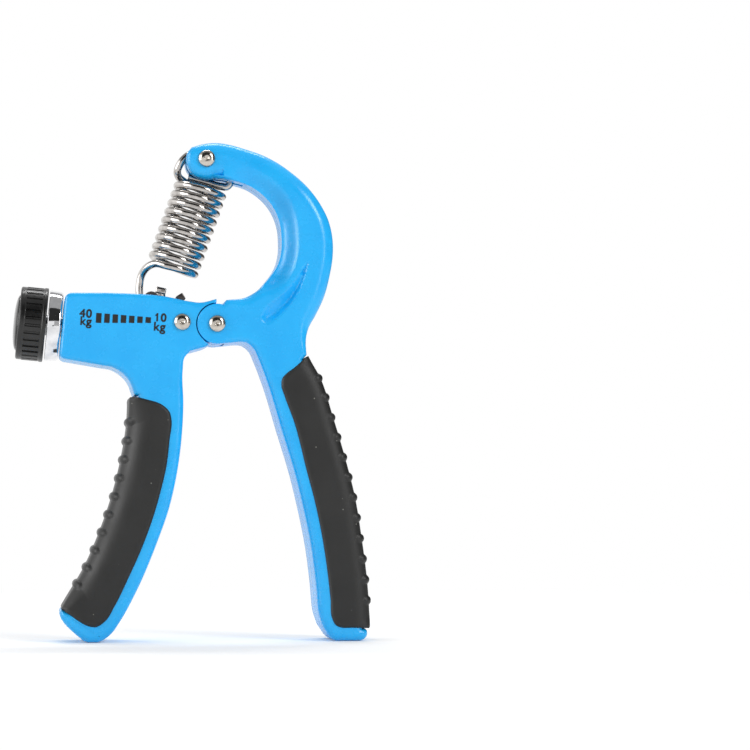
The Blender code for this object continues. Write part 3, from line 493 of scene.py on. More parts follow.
gripShape = {
    "left": {
        "edge": [(-18.55, 71.75), (-18.75, 71.3), (-18.8, 69.8)] + leftShape["gripEdge"][5::-1]
                + [(-38.15, 10.3), (-38.2, 9.9)],
        "inner": [(-18.55, 71.75), (-16.6, 71.75), (-13.25, 71.1), (-9.15, 69.7), (-6.9, 67.6), (-6.25, 65.0),
                  (-6.75, 59.6), (-7.75, 51.2), (-9.45, 43.8), (-11.15, 37.7), (-14.85, 27.4), (-18.85, 18.4),
                  (-22.75, 10.4), (-25.45, 6.1), (-28.15, 4.4), (-30.45, 4.7), (-33.15, 6.1), (-35.6, 7.9),
                  (-38.2, 9.9)],
        "round": 7.0, "roundDepth": 0.75, "ribs": (0.107, 0.897, 10), "ribEdge": leftShape["gripEdge"]},
    "right": {
        "edge": [(34.1, 84.3), (34.5, 83.6)] + [(x + 0.15, z) for x, z in rightShape["gripEdge"][1:-1]]
                + [(52.6, 5.2), (52.5, 4.0), (52.3, 3.75)],
        "inner": [(34.1, 84.3), (32.7, 83.3), (29.7, 80.8), (27.2, 78.9), (26.0, 77.4), (25.8, 75.6), (26.8, 72.2),
                  (29.6, 64.7), (33.3, 50.5), (36.0, 40.3), (38.1, 30.1), (39.4, 21.7), (40.5, 12.2),
                  (41.0, 6.6), (42.2, 4.5), (43.6, 3.9), (47.0, 3.8), (52.3, 3.75)],
        "round": 4.8, "roundDepth": 0.6, "ribs": (0.087, 0.915, 12), "ribEdge": rightShape["gripEdge"]},
    "wall": 2.1, "half": 11.1, "sunk": 10.2, "tuck": 1.7, "clear": 1.0, "farSide": 52.85, "proud": 0.3,
    "cells": (300, 84), "wallShare": 0.2, "lipShare": 0.94, "denseShare": 0.6, "dense": 1.1,
    "lip": 1.0, "lipGrows": (0.3, 0.2), "roundGrows": (3.4, 0.45),
    "ribHeight": 0.7, "ribHalf": 1.25, "ribOver": 0.6, "ribFade": 0.8, "ribOnFace": 0.7,
}


def leftOutline(s):
    (alongC, upC), (alongR, upR) = s["corner"], s["cornerR"]
    turns = [math.radians(t) for t in range(0, 85, 12)]
    end = s["armEnd"] + [onScrew(alongC - alongR * math.cos(t), upC + upR * math.sin(t)) for t in turns]
    top = smoothLine([s["topStart"]] + s["top"])
    disc = arcLine(pivot, knuckleR, 89, -120, 40)
    under = s["knuckleFoot"] + smoothLine(s["innerEdge"])
    tip = [s["tipStart"]] + smoothLine(s["tip"], 0.9) + s["tipEnd"]
    beneath = offsetLine(smoothLine(s["gripEdge"], 1.5), gripShape["wall"]) + [s["gripStep"]]
    armpit = smoothLine(s["armpit"]) + [s["armFoot"]]
    return cleanLoop(end + top + disc + under + tip + beneath + armpit)


def rightOutline(s):
    lug = arcLine(lugRivet, s["lugR"], -68, -200, 26)
    beneath = [s["gripStep"]] + offsetLine(smoothLine(s["gripEdge"], 1.5), gripShape["wall"])[1:]
    disc = arcLine(pivot, knuckleR, -80, -286, 40)
    return cleanLoop([s["ringStart"]] + smoothLine(s["ringInner"], 0.9) + lug + smoothLine(s["ringOuter"], 1.1)
                     + beneath + s["tip"] + smoothLine(s["innerEdge"]) + disc)


def underRubber(points, side, depth):
    # the face drops where the grip covers it
    g = gripShape
    loop = smoothLine(g[side]["edge"], 1.0) + smoothLine(g[side]["inner"], 1.0)[::-1]
    covered = within(points, loop) & (awayFrom(points, loop) > g["tuck"])
    return np.where(covered, np.minimum(depth, g["sunk"] - g["clear"]), depth)


def roundedFace(full, r, away):
    # depth of a face whose edge is rounded to radius r
    near = np.clip(away, 0, r)
    return full - r + np.sqrt(r * r - (r - near) ** 2)


def leftFace(points, s, loop):
    # the handle is rounder than the arm
    z = np.asarray(points, float)[:, 1]
    r = s["edge"] + (s["handleEdge"] - s["edge"]) * easeOver(z, s["handleRound"])
    return underRubber(points, "left", roundedFace(s["halfDepth"], r, awayFrom(points, loop)))


def crescentMark(p, s):
    # its floor falls away from the upper edge to a steep lower one
    lower, upper = smoothLine(s["crescentLower"], 0.6), smoothLine(s["crescentUpper"], 0.6)
    toUpper, toLower = awayFrom(p, upper, closed=False), awayFrom(p, lower, closed=False)
    across = toUpper + toLower
    floor = np.interp(toUpper / np.maximum(across, 1e-6), *s["crescentFloor"])
    depth = s["crescentDepth"] * floor * np.clip(across / s["crescentFull"], 0, 1)
    return np.where(within(p, lower + upper[1:-1]), depth, 0.0)


def rightFace(points, s, loop):
    p = np.asarray(points, float)
    x, z = p[:, 0], p[:, 1]
    # the ring thins towards the lug
    full = s["halfDepth"] - (s["halfDepth"] - s["lugHalfDepth"]) * softStep(
        shareOf(z, s["thinUp"]) * shareOf(x, s["thinLeft"]))
    # full round outside the ring, small edge elsewhere
    reach = easeOver(z, s["ringUp"]) * easeOver(x, s["ringRight"]) * np.maximum(
        easeOver(x, s["pastNotch"]), easeOver(z, s["overTop"]))
    handle = easeOver(z, s["handleRound"])
    r = s["edge"] + (s["ringEdge"] - s["edge"]) * reach + (s["handleEdge"] - s["edge"]) * handle
    away = awayFrom(p, loop)
    toInner = awayFrom(p, smoothLine(s["ringInner"], 0.9), closed=False)
    low = easeOver(z, s["innerLow"]) * easeOver(x, s["innerRight"])
    r = np.where(toInner < away + 0.02, s["edge"] + (s["innerEdgeLow"] - s["edge"]) * low, r)
    toPivot = np.hypot(x - pivot[0], z - pivot[1])
    r = np.where((toPivot < s["cheekReach"][0]) & (x < pivot[0] + s["cheekReach"][1]), s["cheekEdge"], r)
    y = roundedFace(full, r, away)
    # a cove from the face down to a thin rim, inside the ring
    rim = full - (full - s["rimHalf"]) * easeOver(z, s["coveUp"]) * easeOver(x, s["coveRight"])
    cove = rim + (full - rim) * softStep(toInner / s["coveWidth"])
    y = np.where(toInner < s["coveWidth"], np.minimum(y, cove), y)
    return underRubber(p, "right", y - crescentMark(p, s))


shellShape = {"seam": 0.04, "lift": 8.0, "bands": (0.06, 0.13, 0.2, 0.27, 0.34), "chamfer": 0.16, "cut": (-1.0, 14.0),
              "cell": {"left": 1.0, "right": 0.8}, "fineAbove": {"left": 200.0, "right": 87.0}}


def halfShell(side, outline, face, shape):
    # outline, wall, narrow bands and a grid over the face, which is then set to its depth
    s = shellShape
    high = s["lift"] / 2
    bm = bmesh.new()
    base = bm.faces.new([bm.verts.new((x, s["seam"], z)) for x, z in outline])
    base.normal_update()
    if base.normal.y < 0:
        base.normal_flip()
    top = [f for f in extruded(bm, base, s["lift"]) if isinstance(f, bmesh.types.BMFace)][0]
    for step in s["bands"]:
        bmesh.ops.inset_region(bm, faces=[top], thickness=step, depth=0, use_even_offset=True, use_boundary=True)
    bmesh.ops.triangulate(bm, faces=[top])
    bm.normal_update()
    # the bands are of quads, the core inside them of triangles
    core = [f for f in bm.faces if len(f.verts) != 4 and abs(f.normal.y) > 0.99 and f.calc_center_median().y > high]
    for axis in (0, 2):
        places = [p[axis // 2] for p in outline]
        for k in range(1, int((max(places) - min(places)) / s["cell"][side])):
            spot, way = Vector((0, s["lift"], 0)), Vector((0, 0, 0))
            spot[axis] = min(places) + k * s["cell"][side]
            way[axis] = 1
            core = [f for f in core if f.is_valid]
            geom = core + list(dict.fromkeys(e for f in core for e in f.edges))
            geom += list(dict.fromkeys(v for f in core for v in f.verts))
            made = bmesh.ops.bisect_plane(bm, geom=geom, dist=0.0005, plane_co=spot, plane_no=way)["geom"]
            core = [g for g in made if isinstance(g, bmesh.types.BMFace)]
    # finer cells where the face curves most
    chosen = dict.fromkeys(f for f in core if f.is_valid and f.calc_center_median().z > s["fineAbove"][side])
    inside = [e for e in dict.fromkeys(e for f in chosen for e in f.edges) if all(f in chosen for f in e.link_faces)]
    if inside:
        bmesh.ops.subdivide_edges(bm, edges=inside, cuts=1, use_grid_fill=True)
    raised = [v for v in bm.verts if v.co.y > high]
    for v, y in zip(raised, face([(v.co.x, v.co.z) for v in raised], shape, outline)):
        v.co.y = float(y)
    bmesh.ops.remove_doubles(bm, verts=bm.verts, dist=0.003)
    # a small chamfer where the halves meet
    bevelEdges(bm, [e for e in bm.edges if all(v.co.y < s["seam"] + 0.01 for v in e.verts)], s["chamfer"], 1)
    bmesh.ops.triangulate(bm, faces=[f for f in bm.faces if len(f.verts) > 4])
    return bm


def addShells():
    inside, outside = shellShape["cut"]
    s = leftShape
    seat = arcLine(pivot, s["seatR"], 92, 226, 48) + s["seatEnd"]
    left = carve(halfShell("left", leftOutline(s), leftFace, s),
                 [slabOf(seat, s["tongue"], outside), slabOf(s["trough"], inside, s["troughHalf"])])
    s = rightShape
    room = arcLine(pivot, s["roomR"], 0, 355, 71)
    right = carve(halfShell("right", rightOutline(s), rightFace, s),
                  [slabOf(room, inside, s["cheekInner"]), slabOf(s["slot"], inside, s["slotHalf"])])
    for label, bm, body in (("left", left, "left_handle"), ("right", right, "right_handle")):
        back = bm.copy()
        bmesh.ops.scale(bm, vec=(1, -1, 1), verts=bm.verts)
        bmesh.ops.reverse_faces(bm, faces=bm.faces)
        makePiece(label + "FrontShell", bm, bluePlastic, body, [label + "_front_shell"])
        makePiece(label + "BackShell", back, bluePlastic, body, [label + "_back_shell"])


addShells()
print("shells made")


# ---------- rubber grips ----------
def measured(points, step):
    # a smooth run through the points, and how far along it each of its own lies
    line = np.array(smoothLine(points, step))
    return line, np.concatenate([[0], np.cumsum(np.linalg.norm(np.diff(line, axis=0), axis=1))])


def evenly(points, count):
    # that many points spaced evenly along the run
    line, run = measured(points, 0.5)
    places = np.linspace(0, run[-1], count)
    return np.stack([np.interp(places, run, line[:, k]) for k in (0, 1)], axis=1)


def ribRise(g, s, spots, overFace):
    # how far the ribs lift each spot, and the way out of the handle there
    line, run = measured(s["ribEdge"], 0.4)
    nearest = np.argmin(((spots[:, None, :] - line[None, :, :]) ** 2).sum(axis=2), axis=1)
    tangent = np.gradient(line, axis=0)
    tangent /= np.linalg.norm(tangent, axis=1)[:, None]
    tangent = tangent[nearest]
    place = run[nearest] + ((spots - line[nearest]) * tangent).sum(axis=1)
    start, end, number = s["ribs"]
    centres = run[-1] * (start + (end - start) * np.arange(number) / (number - 1))
    gap = np.min(np.abs(place[:, None] - centres[None, :]), axis=1)
    near = np.clip(np.hypot(gap, np.maximum(overFace - g["ribOver"], 0)) / g["ribHalf"], 0, 1)
    rise = g["ribHeight"] * (1 - near**2) ** g["ribFade"]
    return rise, np.stack([-tangent[:, 1], tangent[:, 0]], axis=1)


def addGrip(side):
    s = gripShape[side]
    g = gripShape
    along, across = g["cells"]
    outer = evenly(s["edge"], along + 1)
    inner = evenly(s["inner"], along + 1)
    if np.linalg.norm(outer[0] - inner[0]) > 1:
        inner = inner[::-1]
    bm = bmesh.new()
    bmesh.ops.create_grid(bm, x_segments=along, y_segments=across, size=1.0)
    u = np.array([v.co.x for v in bm.verts]) * 0.5 + 0.5
    w = np.array([v.co.y for v in bm.verts])
    row = np.rint(u * along).astype(int)
    sideways = np.abs(w)
    # across the section: side wall, rounded face, lip
    wallShare, lipShare, knee = g["wallShare"], g["lipShare"], g["denseShare"]
    t = np.clip((sideways - wallShare) / (lipShare - wallShare), 0, 1)
    atKnee = knee * knee * g["dense"]
    t = np.where(t < knee, t * t * g["dense"], atKnee + (t - knee) * (1 - atKnee) / (1 - knee))
    spots = outer[row] + (inner[row] - outer[row]) * t[:, None]
    toOuter = awayFrom(spots, outer, closed=False)
    toInner = awayFrom(spots, inner, closed=False)
    toEnd = np.minimum(np.linalg.norm(spots - outer[0], axis=1), np.linalg.norm(spots - outer[-1], axis=1))
    r = np.minimum(s["round"], g["roundGrows"][0] + toEnd * g["roundGrows"][1])
    lean = np.clip(1 - toOuter / r, 0, 1)
    dropOut = r * s["roundDepth"] * (1 - np.sqrt(np.maximum(1 - lean * lean, 0)))
    widths = np.linalg.norm(inner[row] - outer[row], axis=1)
    lip = np.minimum(g["lip"], g["lipGrows"][0] + widths * g["lipGrows"][1])
    dropIn = lip - np.sqrt(np.maximum(lip * lip - (lip - np.clip(toInner, 0, lip)) ** 2, 0))
    y = g["half"] - np.maximum(dropOut, dropIn)
    onWall = sideways <= wallShare
    y = np.where(onWall, (g["half"] - r * s["roundDepth"]) * sideways / wallShare, y)
    lipDepth = g["half"] - lip + (g["sunk"] - g["half"] + lip) * (sideways - lipShare) / (1 - lipShare)
    y = np.where(sideways > lipShare, lipDepth, y)
    # ribs across the outer side, with round ends on the faces
    rise, outward = ribRise(g, s, spots, np.where(onWall, 0.0, toOuter))
    if ((outer - inner).mean(axis=0) @ outward.mean(axis=0)) < 0:
        outward = -outward
    tilt = np.where(onWall, 1.0, lean)
    spots = spots + outward * (rise * tilt)[:, None]
    spots[:, 0] = np.minimum(spots[:, 0], g["farSide"])
    y = np.minimum(y + rise * np.sqrt(1 - tilt**2) * g["ribOnFace"], g["half"] + g["proud"])
    for v, (x, z), depth, way in zip(bm.verts, spots, y, w):
        v.co = (float(x), float(depth) * (1 if way > 0 else -1), float(z))
    bmesh.ops.remove_doubles(bm, verts=bm.verts, dist=0.01)
    # close the hidden underside, then the two ends
    rim = [e for e in bm.edges if len(e.link_faces) == 1 and min(abs(v.co.y) for v in e.verts) > 9]
    bmesh.ops.bridge_loops(bm, edges=rim)
    rim = [e for e in bm.edges if len(e.link_faces) == 1]
    bmesh.ops.holes_fill(bm, edges=rim, sides=0)
    bmesh.ops.recalc_face_normals(bm, faces=bm.faces)
    makePiece(side + "Grip", bm, greyRubber, side + "_handle", [side + "_grip"], sharp=60)


addGrip("left")
addGrip("right")
print("grips made")


# ---------- knob, cap and collar ----------
# places along the screw's line, with radii
knobShape = {"start": -12.8, "end": -4.7, "valley": 10.4, "rib": 10.85, "band": 10.75, "flange": 11.0, "bore": 3.06,
             "ribs": 31, "slotStarts": (1.85, 1.98, 2.3, 3.5), "slotEnds": (-3.2, -2.0, -1.68, -1.55),
             "slotShare": (0.62, 0.2)}
capShape = {"foot": -10.6, "top": -14.18, "radius": 8.2, "steps": 16, "bulge": 0.8}
collarShape = [(-3.1, 3.4), (-3.1, 5.6), (-4.3, 5.6), (-4.3, 10.1), (-4.22, 10.35), (-3.95, 10.48), (-0.9, 10.22),
               (-0.55, 10.1), (-0.35, 9.85), (-0.3, 9.5), (-0.3, 3.4), (-3.1, 3.4)]


def addKnob():
    s = knobShape
    start, end, rib, band, flange = (s[key] for key in ("start", "end", "rib", "band", "flange"))
    stops = [start + d for d in s["slotStarts"]] + [end + d for d in s["slotEnds"]]
    profile = [(end - 2.0, 3.1), (end - 2.0, 8.6), (start + 0.5, 8.55), (start + 0.1, 8.7), (start, 9.0),
               (start, band - 0.7), (start + 0.12, band - 0.25), (start + 0.45, band), (start + 1.3, band),
               (start + 1.7, band)]
    profile += [(at, rib) for at in stops]
    profile += [(end - 1.3, rib - 0.05), (end - 1.22, flange - 0.15), (end - 1.0, flange), (end - 0.3, flange),
                (end - 0.08, flange - 0.12), (end, flange - 0.4), (end, s["bore"]), (end - 2.0, s["bore"] + 0.04)]
    bm = turned(profile, s["ribs"] * 10, axis="X")
    # narrow slots between flat lands, closed at both ends
    for v in bm.verts:
        radius = math.hypot(v.co.y, v.co.z)
        if abs(radius - rib) < 0.002 and stops[1] - 0.01 < v.co.x < stops[-2] + 0.01:
            turn = math.atan2(v.co.z, v.co.y) * s["ribs"] / (2 * math.pi)
            part = abs((turn % 1.0) - 0.5) * 2
            sunk = (rib - s["valley"]) * float(easeOver(part, s["slotShare"]))
            v.co.y *= (radius - sunk) / radius
            v.co.z *= (radius - sunk) / radius
    makePiece("knobRing", alongScrew(bm), knobPlastic, "adjuster", ["knob_ring"], sharp=50)
    c = capShape
    profile = [(c["foot"], 0.0), (c["foot"], c["radius"]), (start - 0.02, c["radius"])]
    for k in range(1, c["steps"]):
        turn = math.radians(90 * k / c["steps"])
        profile.append((start + (c["top"] - start) * math.sin(turn), c["radius"] * math.cos(turn) ** c["bulge"]))
    profile.append((c["top"], 0.0))
    bm = turned(profile, 96, axis="X")
    makePiece("knobCap", alongScrew(bm), capPlastic, "adjuster", ["knob_cap"], sharp=50)
    bm = turned(collarShape, 128, axis="X")
    makePiece("collarSleeve", alongScrew(bm), chromePlate, "left_handle", ["collar"], sharp=40)


addKnob()
print("knob made")


# ---------- rivets ----------
rivetShape = {"head": 2.55, "height": 1.25, "foot": 0.2, "gap": 0.03, "brim": 0.22, "dimple": 0.7, "dimpleDepth": 0.5}


def addRivet(name, at, face, body, node, shaft):
    # a shaft through both halves with a domed, dimpled head on each face
    s = rivetShape
    head, dimple = s["head"], s["dimple"]
    seat, top = face + s["gap"], face + s["foot"] + s["height"]
    brim, floor = seat + s["brim"], top - s["dimpleDepth"]
    half = [(0.0, shaft), (seat, shaft), (seat, head - 0.08), (seat + 0.06, head)]
    for k in range(13):
        turn = math.radians(90 * k / 12)
        half.append((brim + (top - brim) * math.sin(turn), dimple + (head - dimple) * math.cos(turn)))
    half += [(top - 0.06, dimple - 0.12), (top - 0.3, 0.38), (floor, 0.14), (floor - 0.02, 0.0)]
    bm = turned([(-a, r) for a, r in reversed(half)] + half[1:], 64)
    bmesh.ops.translate(bm, verts=bm.verts, vec=(at[0], 0, at[1]))
    makePiece(name, bm, nickelPlate, body, [node], sharp=50)


addRivet("pivotRivet", pivot, 10.5, "left_handle", "pivot_rivet", 2.0)
addRivet("shellRivet", shellRivet, 10.5, "left_handle", "shell_rivet", 1.5)
addRivet("lugRivet", lugRivet, 7.0, "right_handle", "lug_rivet", 1.0)
print("rivets made")


# ---------- spring ----------
springShape = {
    "wire": 2.3, "radius": 6.92, "pitch": 2.76, "turns": 10, "top": (3.08, 135.85), "tilt": 19.3, "steps": 36,
    "coilFrom": 0.4, "coilTo": 0.5,
    "hook": [(-9.0, 0, 103.5), (-9.0, 0, 101.5), (-9.6, 0, 99.8), (-11.0, 0, 98.6), (-12.7, 0, 98.5),
             (-14.4, 0, 99.6), (-15.3, 0, 101.4), (-15.6, 0, 103.8), (-15.45, -0.1, 106.4), (-14.9, -0.7, 108.6),
             (-13.6, -2.2, 110.5)],
    "eye": [(-2.3, 4.7, 137.5), (-4.0, 2.3, 138.7), (-4.3, 0.5, 140.2), (-3.5, 0, 142.1), (-1.6, 0, 144.3),
            (1.2, 0, 145.5), (4.2, 0, 145.7), (7.3, 0, 144.9), (9.8, 0, 142.9), (11.2, 0, 140.2),
            (11.5, 0, 137.6), (11.3, 0, 136.1), (10.4, 0, 135.3), (9.0, 0, 135.4), (3.8, 0, 136.7),
            (-1.2, 0, 137.95)],
}


def springRoute(s, top, up):
    # the wire's centre line in two runs, from hook to mid coil and from there to the eye
    right, front = Vector((up.z, 0, -up.x)), Vector((0, -1, 0))
    turns, steps = s["turns"], s["steps"]

    def onCoil(turn):
        height = -s["pitch"] * turns + s["pitch"] * turn
        angle = 2 * math.pi * turn
        return top + up * height - right * s["radius"] * math.cos(angle) + front * s["radius"] * math.sin(angle)

    hook = s["hook"] + [tuple(onCoil(0.1) - up * 0.3), tuple(onCoil(0.2) - up * 0.15), tuple(onCoil(0.3)),
                        tuple(onCoil(0.4))]
    eye = [tuple(onCoil(turns - back)) for back in (0.5, 0.4, 0.3)] + s["eye"]
    first, half, last = (round(turn * steps) for turn in (s["coilFrom"], turns / 2, turns - s["coilTo"]))
    # the last points of the hook's run lie on the coil already
    low = smoothLine(hook, 0.5)[:-6] + [tuple(onCoil(k / steps)) for k in range(first, half + 1)]
    high = [tuple(onCoil(k / steps)) for k in range(half, last)] + smoothLine(eye, 0.5)
    return low, high


def addSpring():
    s = springShape
    tilt = math.radians(s["tilt"])
    up = Vector((math.sin(tilt), 0, math.cos(tilt)))
    top = Vector((s["top"][0], 0, s["top"][1]))
    low, high = (tubeAlong(run, s["wire"] / 2, 5) for run in springRoute(s, top, up))
    highPiece = makePiece("springUpper", high, springSteel, None, ["spring"], sharp=50)
    lowPiece = makePiece("springLower", low, springSteel, None, sharp=50)
    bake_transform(highPiece)
    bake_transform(lowPiece)


addSpring()
print("spring made")


# ---------- screw, hook end, bracket and kept nodes ----------
# places along the screw's line, with radii
screwShape = {
    "lead": 1.0, "turns": 23, "steps": 28,
    "ridge": [(6.4, 2.45), (6.52, 2.45), (6.85, 2.97), (6.95, 2.97), (7.28, 2.45), (7.4, 2.45)],
    "core": [(-9.9, 0.0), (-9.9, 2.5), (-9.4, 3.0), (5.2, 3.0), (5.2, 2.5), (6.2, 2.5), (6.2, 2.9), (7.2, 2.9),
             (7.2, 2.44), (30.2, 2.44), (30.2, 2.8), (30.6, 2.8), (31.0, 2.5), (31.0, 0.0)],
}
hookEndShape = {"at": (-9.2, 0, 103.95), "turn": 12, "size": (3.1, 2.6, 1.9), "ease": 0.35}
bracketShape = {"at": (-3.35, 0, 101.75), "turn": -32, "size": (2.2, 6.0, 2.1), "ease": 0.25}


def addScrew():
    # M6 thread with its 1 mm lead, by a spin that climbs
    s = screwShape
    bm = bmesh.new()
    spots = [bm.verts.new((along, r, 0)) for along, r in s["ridge"]]
    edges = [bm.edges.new(pair) for pair in zip(spots, spots[1:])]
    bmesh.ops.spin(bm, geom=spots + edges, cent=(0, 0, 0), axis=(1, 0, 0), dvec=(s["lead"] / s["steps"], 0, 0),
                   angle=2 * math.pi * s["turns"], steps=s["steps"] * s["turns"], use_merge=False,
                   use_duplicate=False)
    bmesh.ops.remove_doubles(bm, verts=bm.verts, dist=0.01)
    turned(s["core"], 40, axis="X", bm=bm)
    makePiece("adjustingScrew", alongScrew(bm), zincSteel, "adjuster", ["adjusting_screw"], sharp=40)


def easedBlock(s):
    # a block turned about Y, with eased edges
    bm = bmesh.new()
    place = Matrix.Translation(s["at"]) @ Matrix.Rotation(math.radians(s["turn"]), 4, "Y")
    bmesh.ops.create_cube(bm, size=1.0, matrix=place @ Matrix.Diagonal((*s["size"], 1.0)))
    bevelEdges(bm, list(bm.edges), s["ease"], 3)
    return bm


addScrew()
# the wire's sheared end, a little spread by the cutter
makePiece("hookEnd", easedBlock(hookEndShape), springSteel, "hook_end", ["hook_end_cap"], sharp=45)
# the folded corner of the end plate that shows above the arm
makePiece("bracketCorner", easedBlock(bracketShape), darkSteel, "left_handle", sharp=45)
# CAD nodes that stay in sight take the detailed finishes
keptNodes = {zincSteel: ("thrust_washer", "knob_nut", "hook_pin"), nickelPlate: ("eye_sleeve",),
             darkSteel: ("screw_end_bracket", "screw_clip", "slider_nut"),
             nylonSheet: ("pivot_washer_front", "pivot_washer_back")}
for finish, labels in keptNodes.items():
    for slots in (nodes[label].data.materials for label in labels):
        for place in range(len(slots)):
            slots[place] = finish
print("small parts dressed")


# ---------- printed scale ----------
# words as text, middle, foot and height
scaleShape = {
    "front": -10.53, "thick": 0.05, "lean": screwTilt * 0.6, "bars": 7, "firstX": -27.85, "pitch": 2.41, "width": 1.6,
    "heights": (2.9, 1.7), "tops": (96.4, 95.3), "corner": 0.1, "bolder": 0.12, "flag": (0.6, 0.2, 38),
    "fontSize": 1.28, "spacing": 1.1,
    "words": [("40", -31.7, 95.1, 2.7), ("kg", -31.7, 92.85, 2.75), ("10", -9.85, 94.1, 2.65),
              ("kg", -10.15, 91.35, 2.85)],
}


def addBars(s):
    bm = bmesh.new()
    for k in range(s["bars"]):
        part = k / (s["bars"] - 1)
        height = s["heights"][0] + (s["heights"][1] - s["heights"][0]) * part
        top = s["tops"][0] + (s["tops"][1] - s["tops"][0]) * part
        place = Matrix.Translation((s["firstX"] + s["pitch"] * k, s["front"], top - height / 2))
        size = Matrix.Diagonal((s["width"], s["thick"], height, 1.0))
        bmesh.ops.create_cube(bm, size=1.0, matrix=place @ Matrix.Rotation(s["lean"], 4, "Y") @ size)
    upright = [e for e in bm.edges if abs((e.verts[0].co - e.verts[1].co).y) > s["thick"] * 0.5]
    bevelEdges(bm, upright, s["corner"], 2)
    makePiece("scaleBars", bm, printInk, "left_handle")


def addWord(s, name, word, x, z, size):
    data = bpy.data.curves.new("word", "FONT")
    data.body = word
    data.size = size * s["fontSize"]
    data.extrude = s["thick"] / 2
    data.space_character = s["spacing"]
    data.align_x = "CENTER"
    data.resolution_u = 6
    bm = asDrawn(placed("word", data))
    if word[0] == "1":
        # the font's figure one has no flag
        long, high, turn = s["flag"]
        corner = (min(v.co.x for v in bm.verts) - 0.12, max(v.co.y for v in bm.verts) - 0.5, 0)
        place = Matrix.Translation(corner) @ Matrix.Rotation(math.radians(turn), 4, "Z")
        bmesh.ops.create_cube(bm, size=1.0, matrix=place @ Matrix.Diagonal((long, high, s["thick"] * 1.2, 1.0)))
    upright = Matrix.Rotation(s["lean"], 4, "Y") @ Matrix.Rotation(math.pi / 2, 4, "X")
    bmesh.ops.transform(bm, matrix=Matrix.Translation((x, s["front"], z)) @ upright, verts=bm.verts)
    joined(bm, 0.001)
    # bolder strokes: each side wall moves out
    moves = []
    for v in bm.verts:
        way = sum((f.normal for f in v.link_faces if abs(f.normal.y) < 0.5), Vector())
        moves.append(way.normalized() * s["bolder"] if way.length > 1e-6 else Vector())
    for v, move in zip(bm.verts, moves):
        v.co += move
    makePiece(name, bm, printInk, "left_handle", sharp=30)


addBars(scaleShape)
for number, word in enumerate(scaleShape["words"]):
    addWord(scaleShape, f"scaleWord{number + 1}", *word)
print("scale printed")


# ---------- stage, light and camera ----------
# lamps as place, size and power; cards as place, target, size and tone
stageShape = {
    "white": "#F4F4F4", "lift": 0.12, "size": 8.0, "near": 0.12, "far": 0.42, "fill": 0.66, "aim": (0, 0, 0.08),
    "lamps": {
        "topBox": ((0.0, 0.42, 0.97), (0.7, 0.1), 3.2),
        "keyBox": ((0.80, -0.9, 0.75), (0.45, 0.45), 5.8),
        "rightStrip": ((0.85, -1.0, 0.30), (0.12, 0.7), 1.4),
        "leftBox": ((-1.05, -0.38, 0.3), (0.3, 0.8), 2.4)},
    "cards": {
        "leftWindow": ((-1.1, -0.48, 0.3), (0, 0, 0.08), (0.95, 1.0), 3.6),
        "darkStudio": ((-0.05, -1.42, 1.12), (0, 0, 0.1), (2.2, 1.5), 0.03),
        "dimFront": ((0.66, -1.55, 0.16), (0.66, 0, 0.16), (1.2, 0.5), 0.45),
        "cameraBody": ((-0.05, -0.82, 0.055), (0, 0, 0.1), (0.09, 0.05), 0.03),
        "dimRight": ((0.95, 0.75, 0.45), (0, 0.75, 0.45), (3.4, 1.2), 0.10),
        "brightLeft": ((-0.95, 1.2, 0.35), (0, 1.2, 0.35), (2.6, 1.1), 1.25),
        "ceiling": ((0.0, 0.4, 1.7), (0, 0.4, 0), (3.4, 3.0), 0.4)},
}


def emptyTree(owner):
    owner.use_nodes = True
    owner.node_tree.nodes.clear()
    return owner.node_tree


def combined(tree, operation, first, second):
    return addNode(tree, "ShaderNodeMath", {"operation": operation}, {0: first, 1: second}).outputs[0]


def seenDirectly(tree):
    # 1 for the camera's own rays and for reflections, 0 for diffuse light
    path = addNode(tree, "ShaderNodeLightPath").outputs
    return combined(tree, "MAXIMUM", path["Is Camera Ray"], path["Is Glossy Ray"])


def emission(tree, tone, strength):
    inputs = {"Color": (tone, tone, tone, 1), "Strength": strength}
    return addNode(tree, "ShaderNodeEmission", None, inputs).outputs[0]


def addStage():
    s = stageShape
    bm = bmesh.new()
    bmesh.ops.create_grid(bm, x_segments=1, y_segments=1, size=s["size"])
    floor = placed("floor", meshOf("floor", bm))
    floor.location = (0, 0, -0.0001)
    made = bpy.data.materials.new("whiteSweep")
    tree = emptyTree(made)
    diffuse = addNode(tree, "ShaderNodeBsdfDiffuse", None, {"Color": toLinear(s["white"])})
    seen = seenDirectly(tree)
    glow = emission(tree, 1, combined(tree, "MULTIPLY", seen, s["lift"]))
    both = addNode(tree, "ShaderNodeAddShader", None, {0: diffuse.outputs[0], 1: glow})
    # the lit floor with its shadows gives way to an even white sweep with distance
    where = addNode(tree, "ShaderNodeTexCoord")
    away = addNode(tree, "ShaderNodeVectorMath", {"operation": "LENGTH"}, {0: where.outputs["Object"]})
    share = spread(tree, away.outputs["Value"], (s["near"], s["far"]), 0.0, 1.0)
    mix = addNode(tree, "ShaderNodeMixShader", None,
                  {0: combined(tree, "MULTIPLY", share, seen), 1: both.outputs[0], 2: emission(tree, 1, 1.0)})
    addNode(tree, "ShaderNodeOutputMaterial", None, {"Surface": mix.outputs[0]})
    floor.data.materials.append(made)


def facing(place, target):
    return (Vector(target) - Vector(place)).to_track_quat("-Z", "Y")


def addLight(name, place, size, power):
    data = bpy.data.lights.new(name, "AREA")
    data.shape = "RECTANGLE"
    data.size, data.size_y = size
    data.energy = power
    lamp = placed(name, data)
    lamp.location = place
    lamp.rotation_mode = "QUATERNION"
    lamp.rotation_quaternion = facing(place, stageShape["aim"])


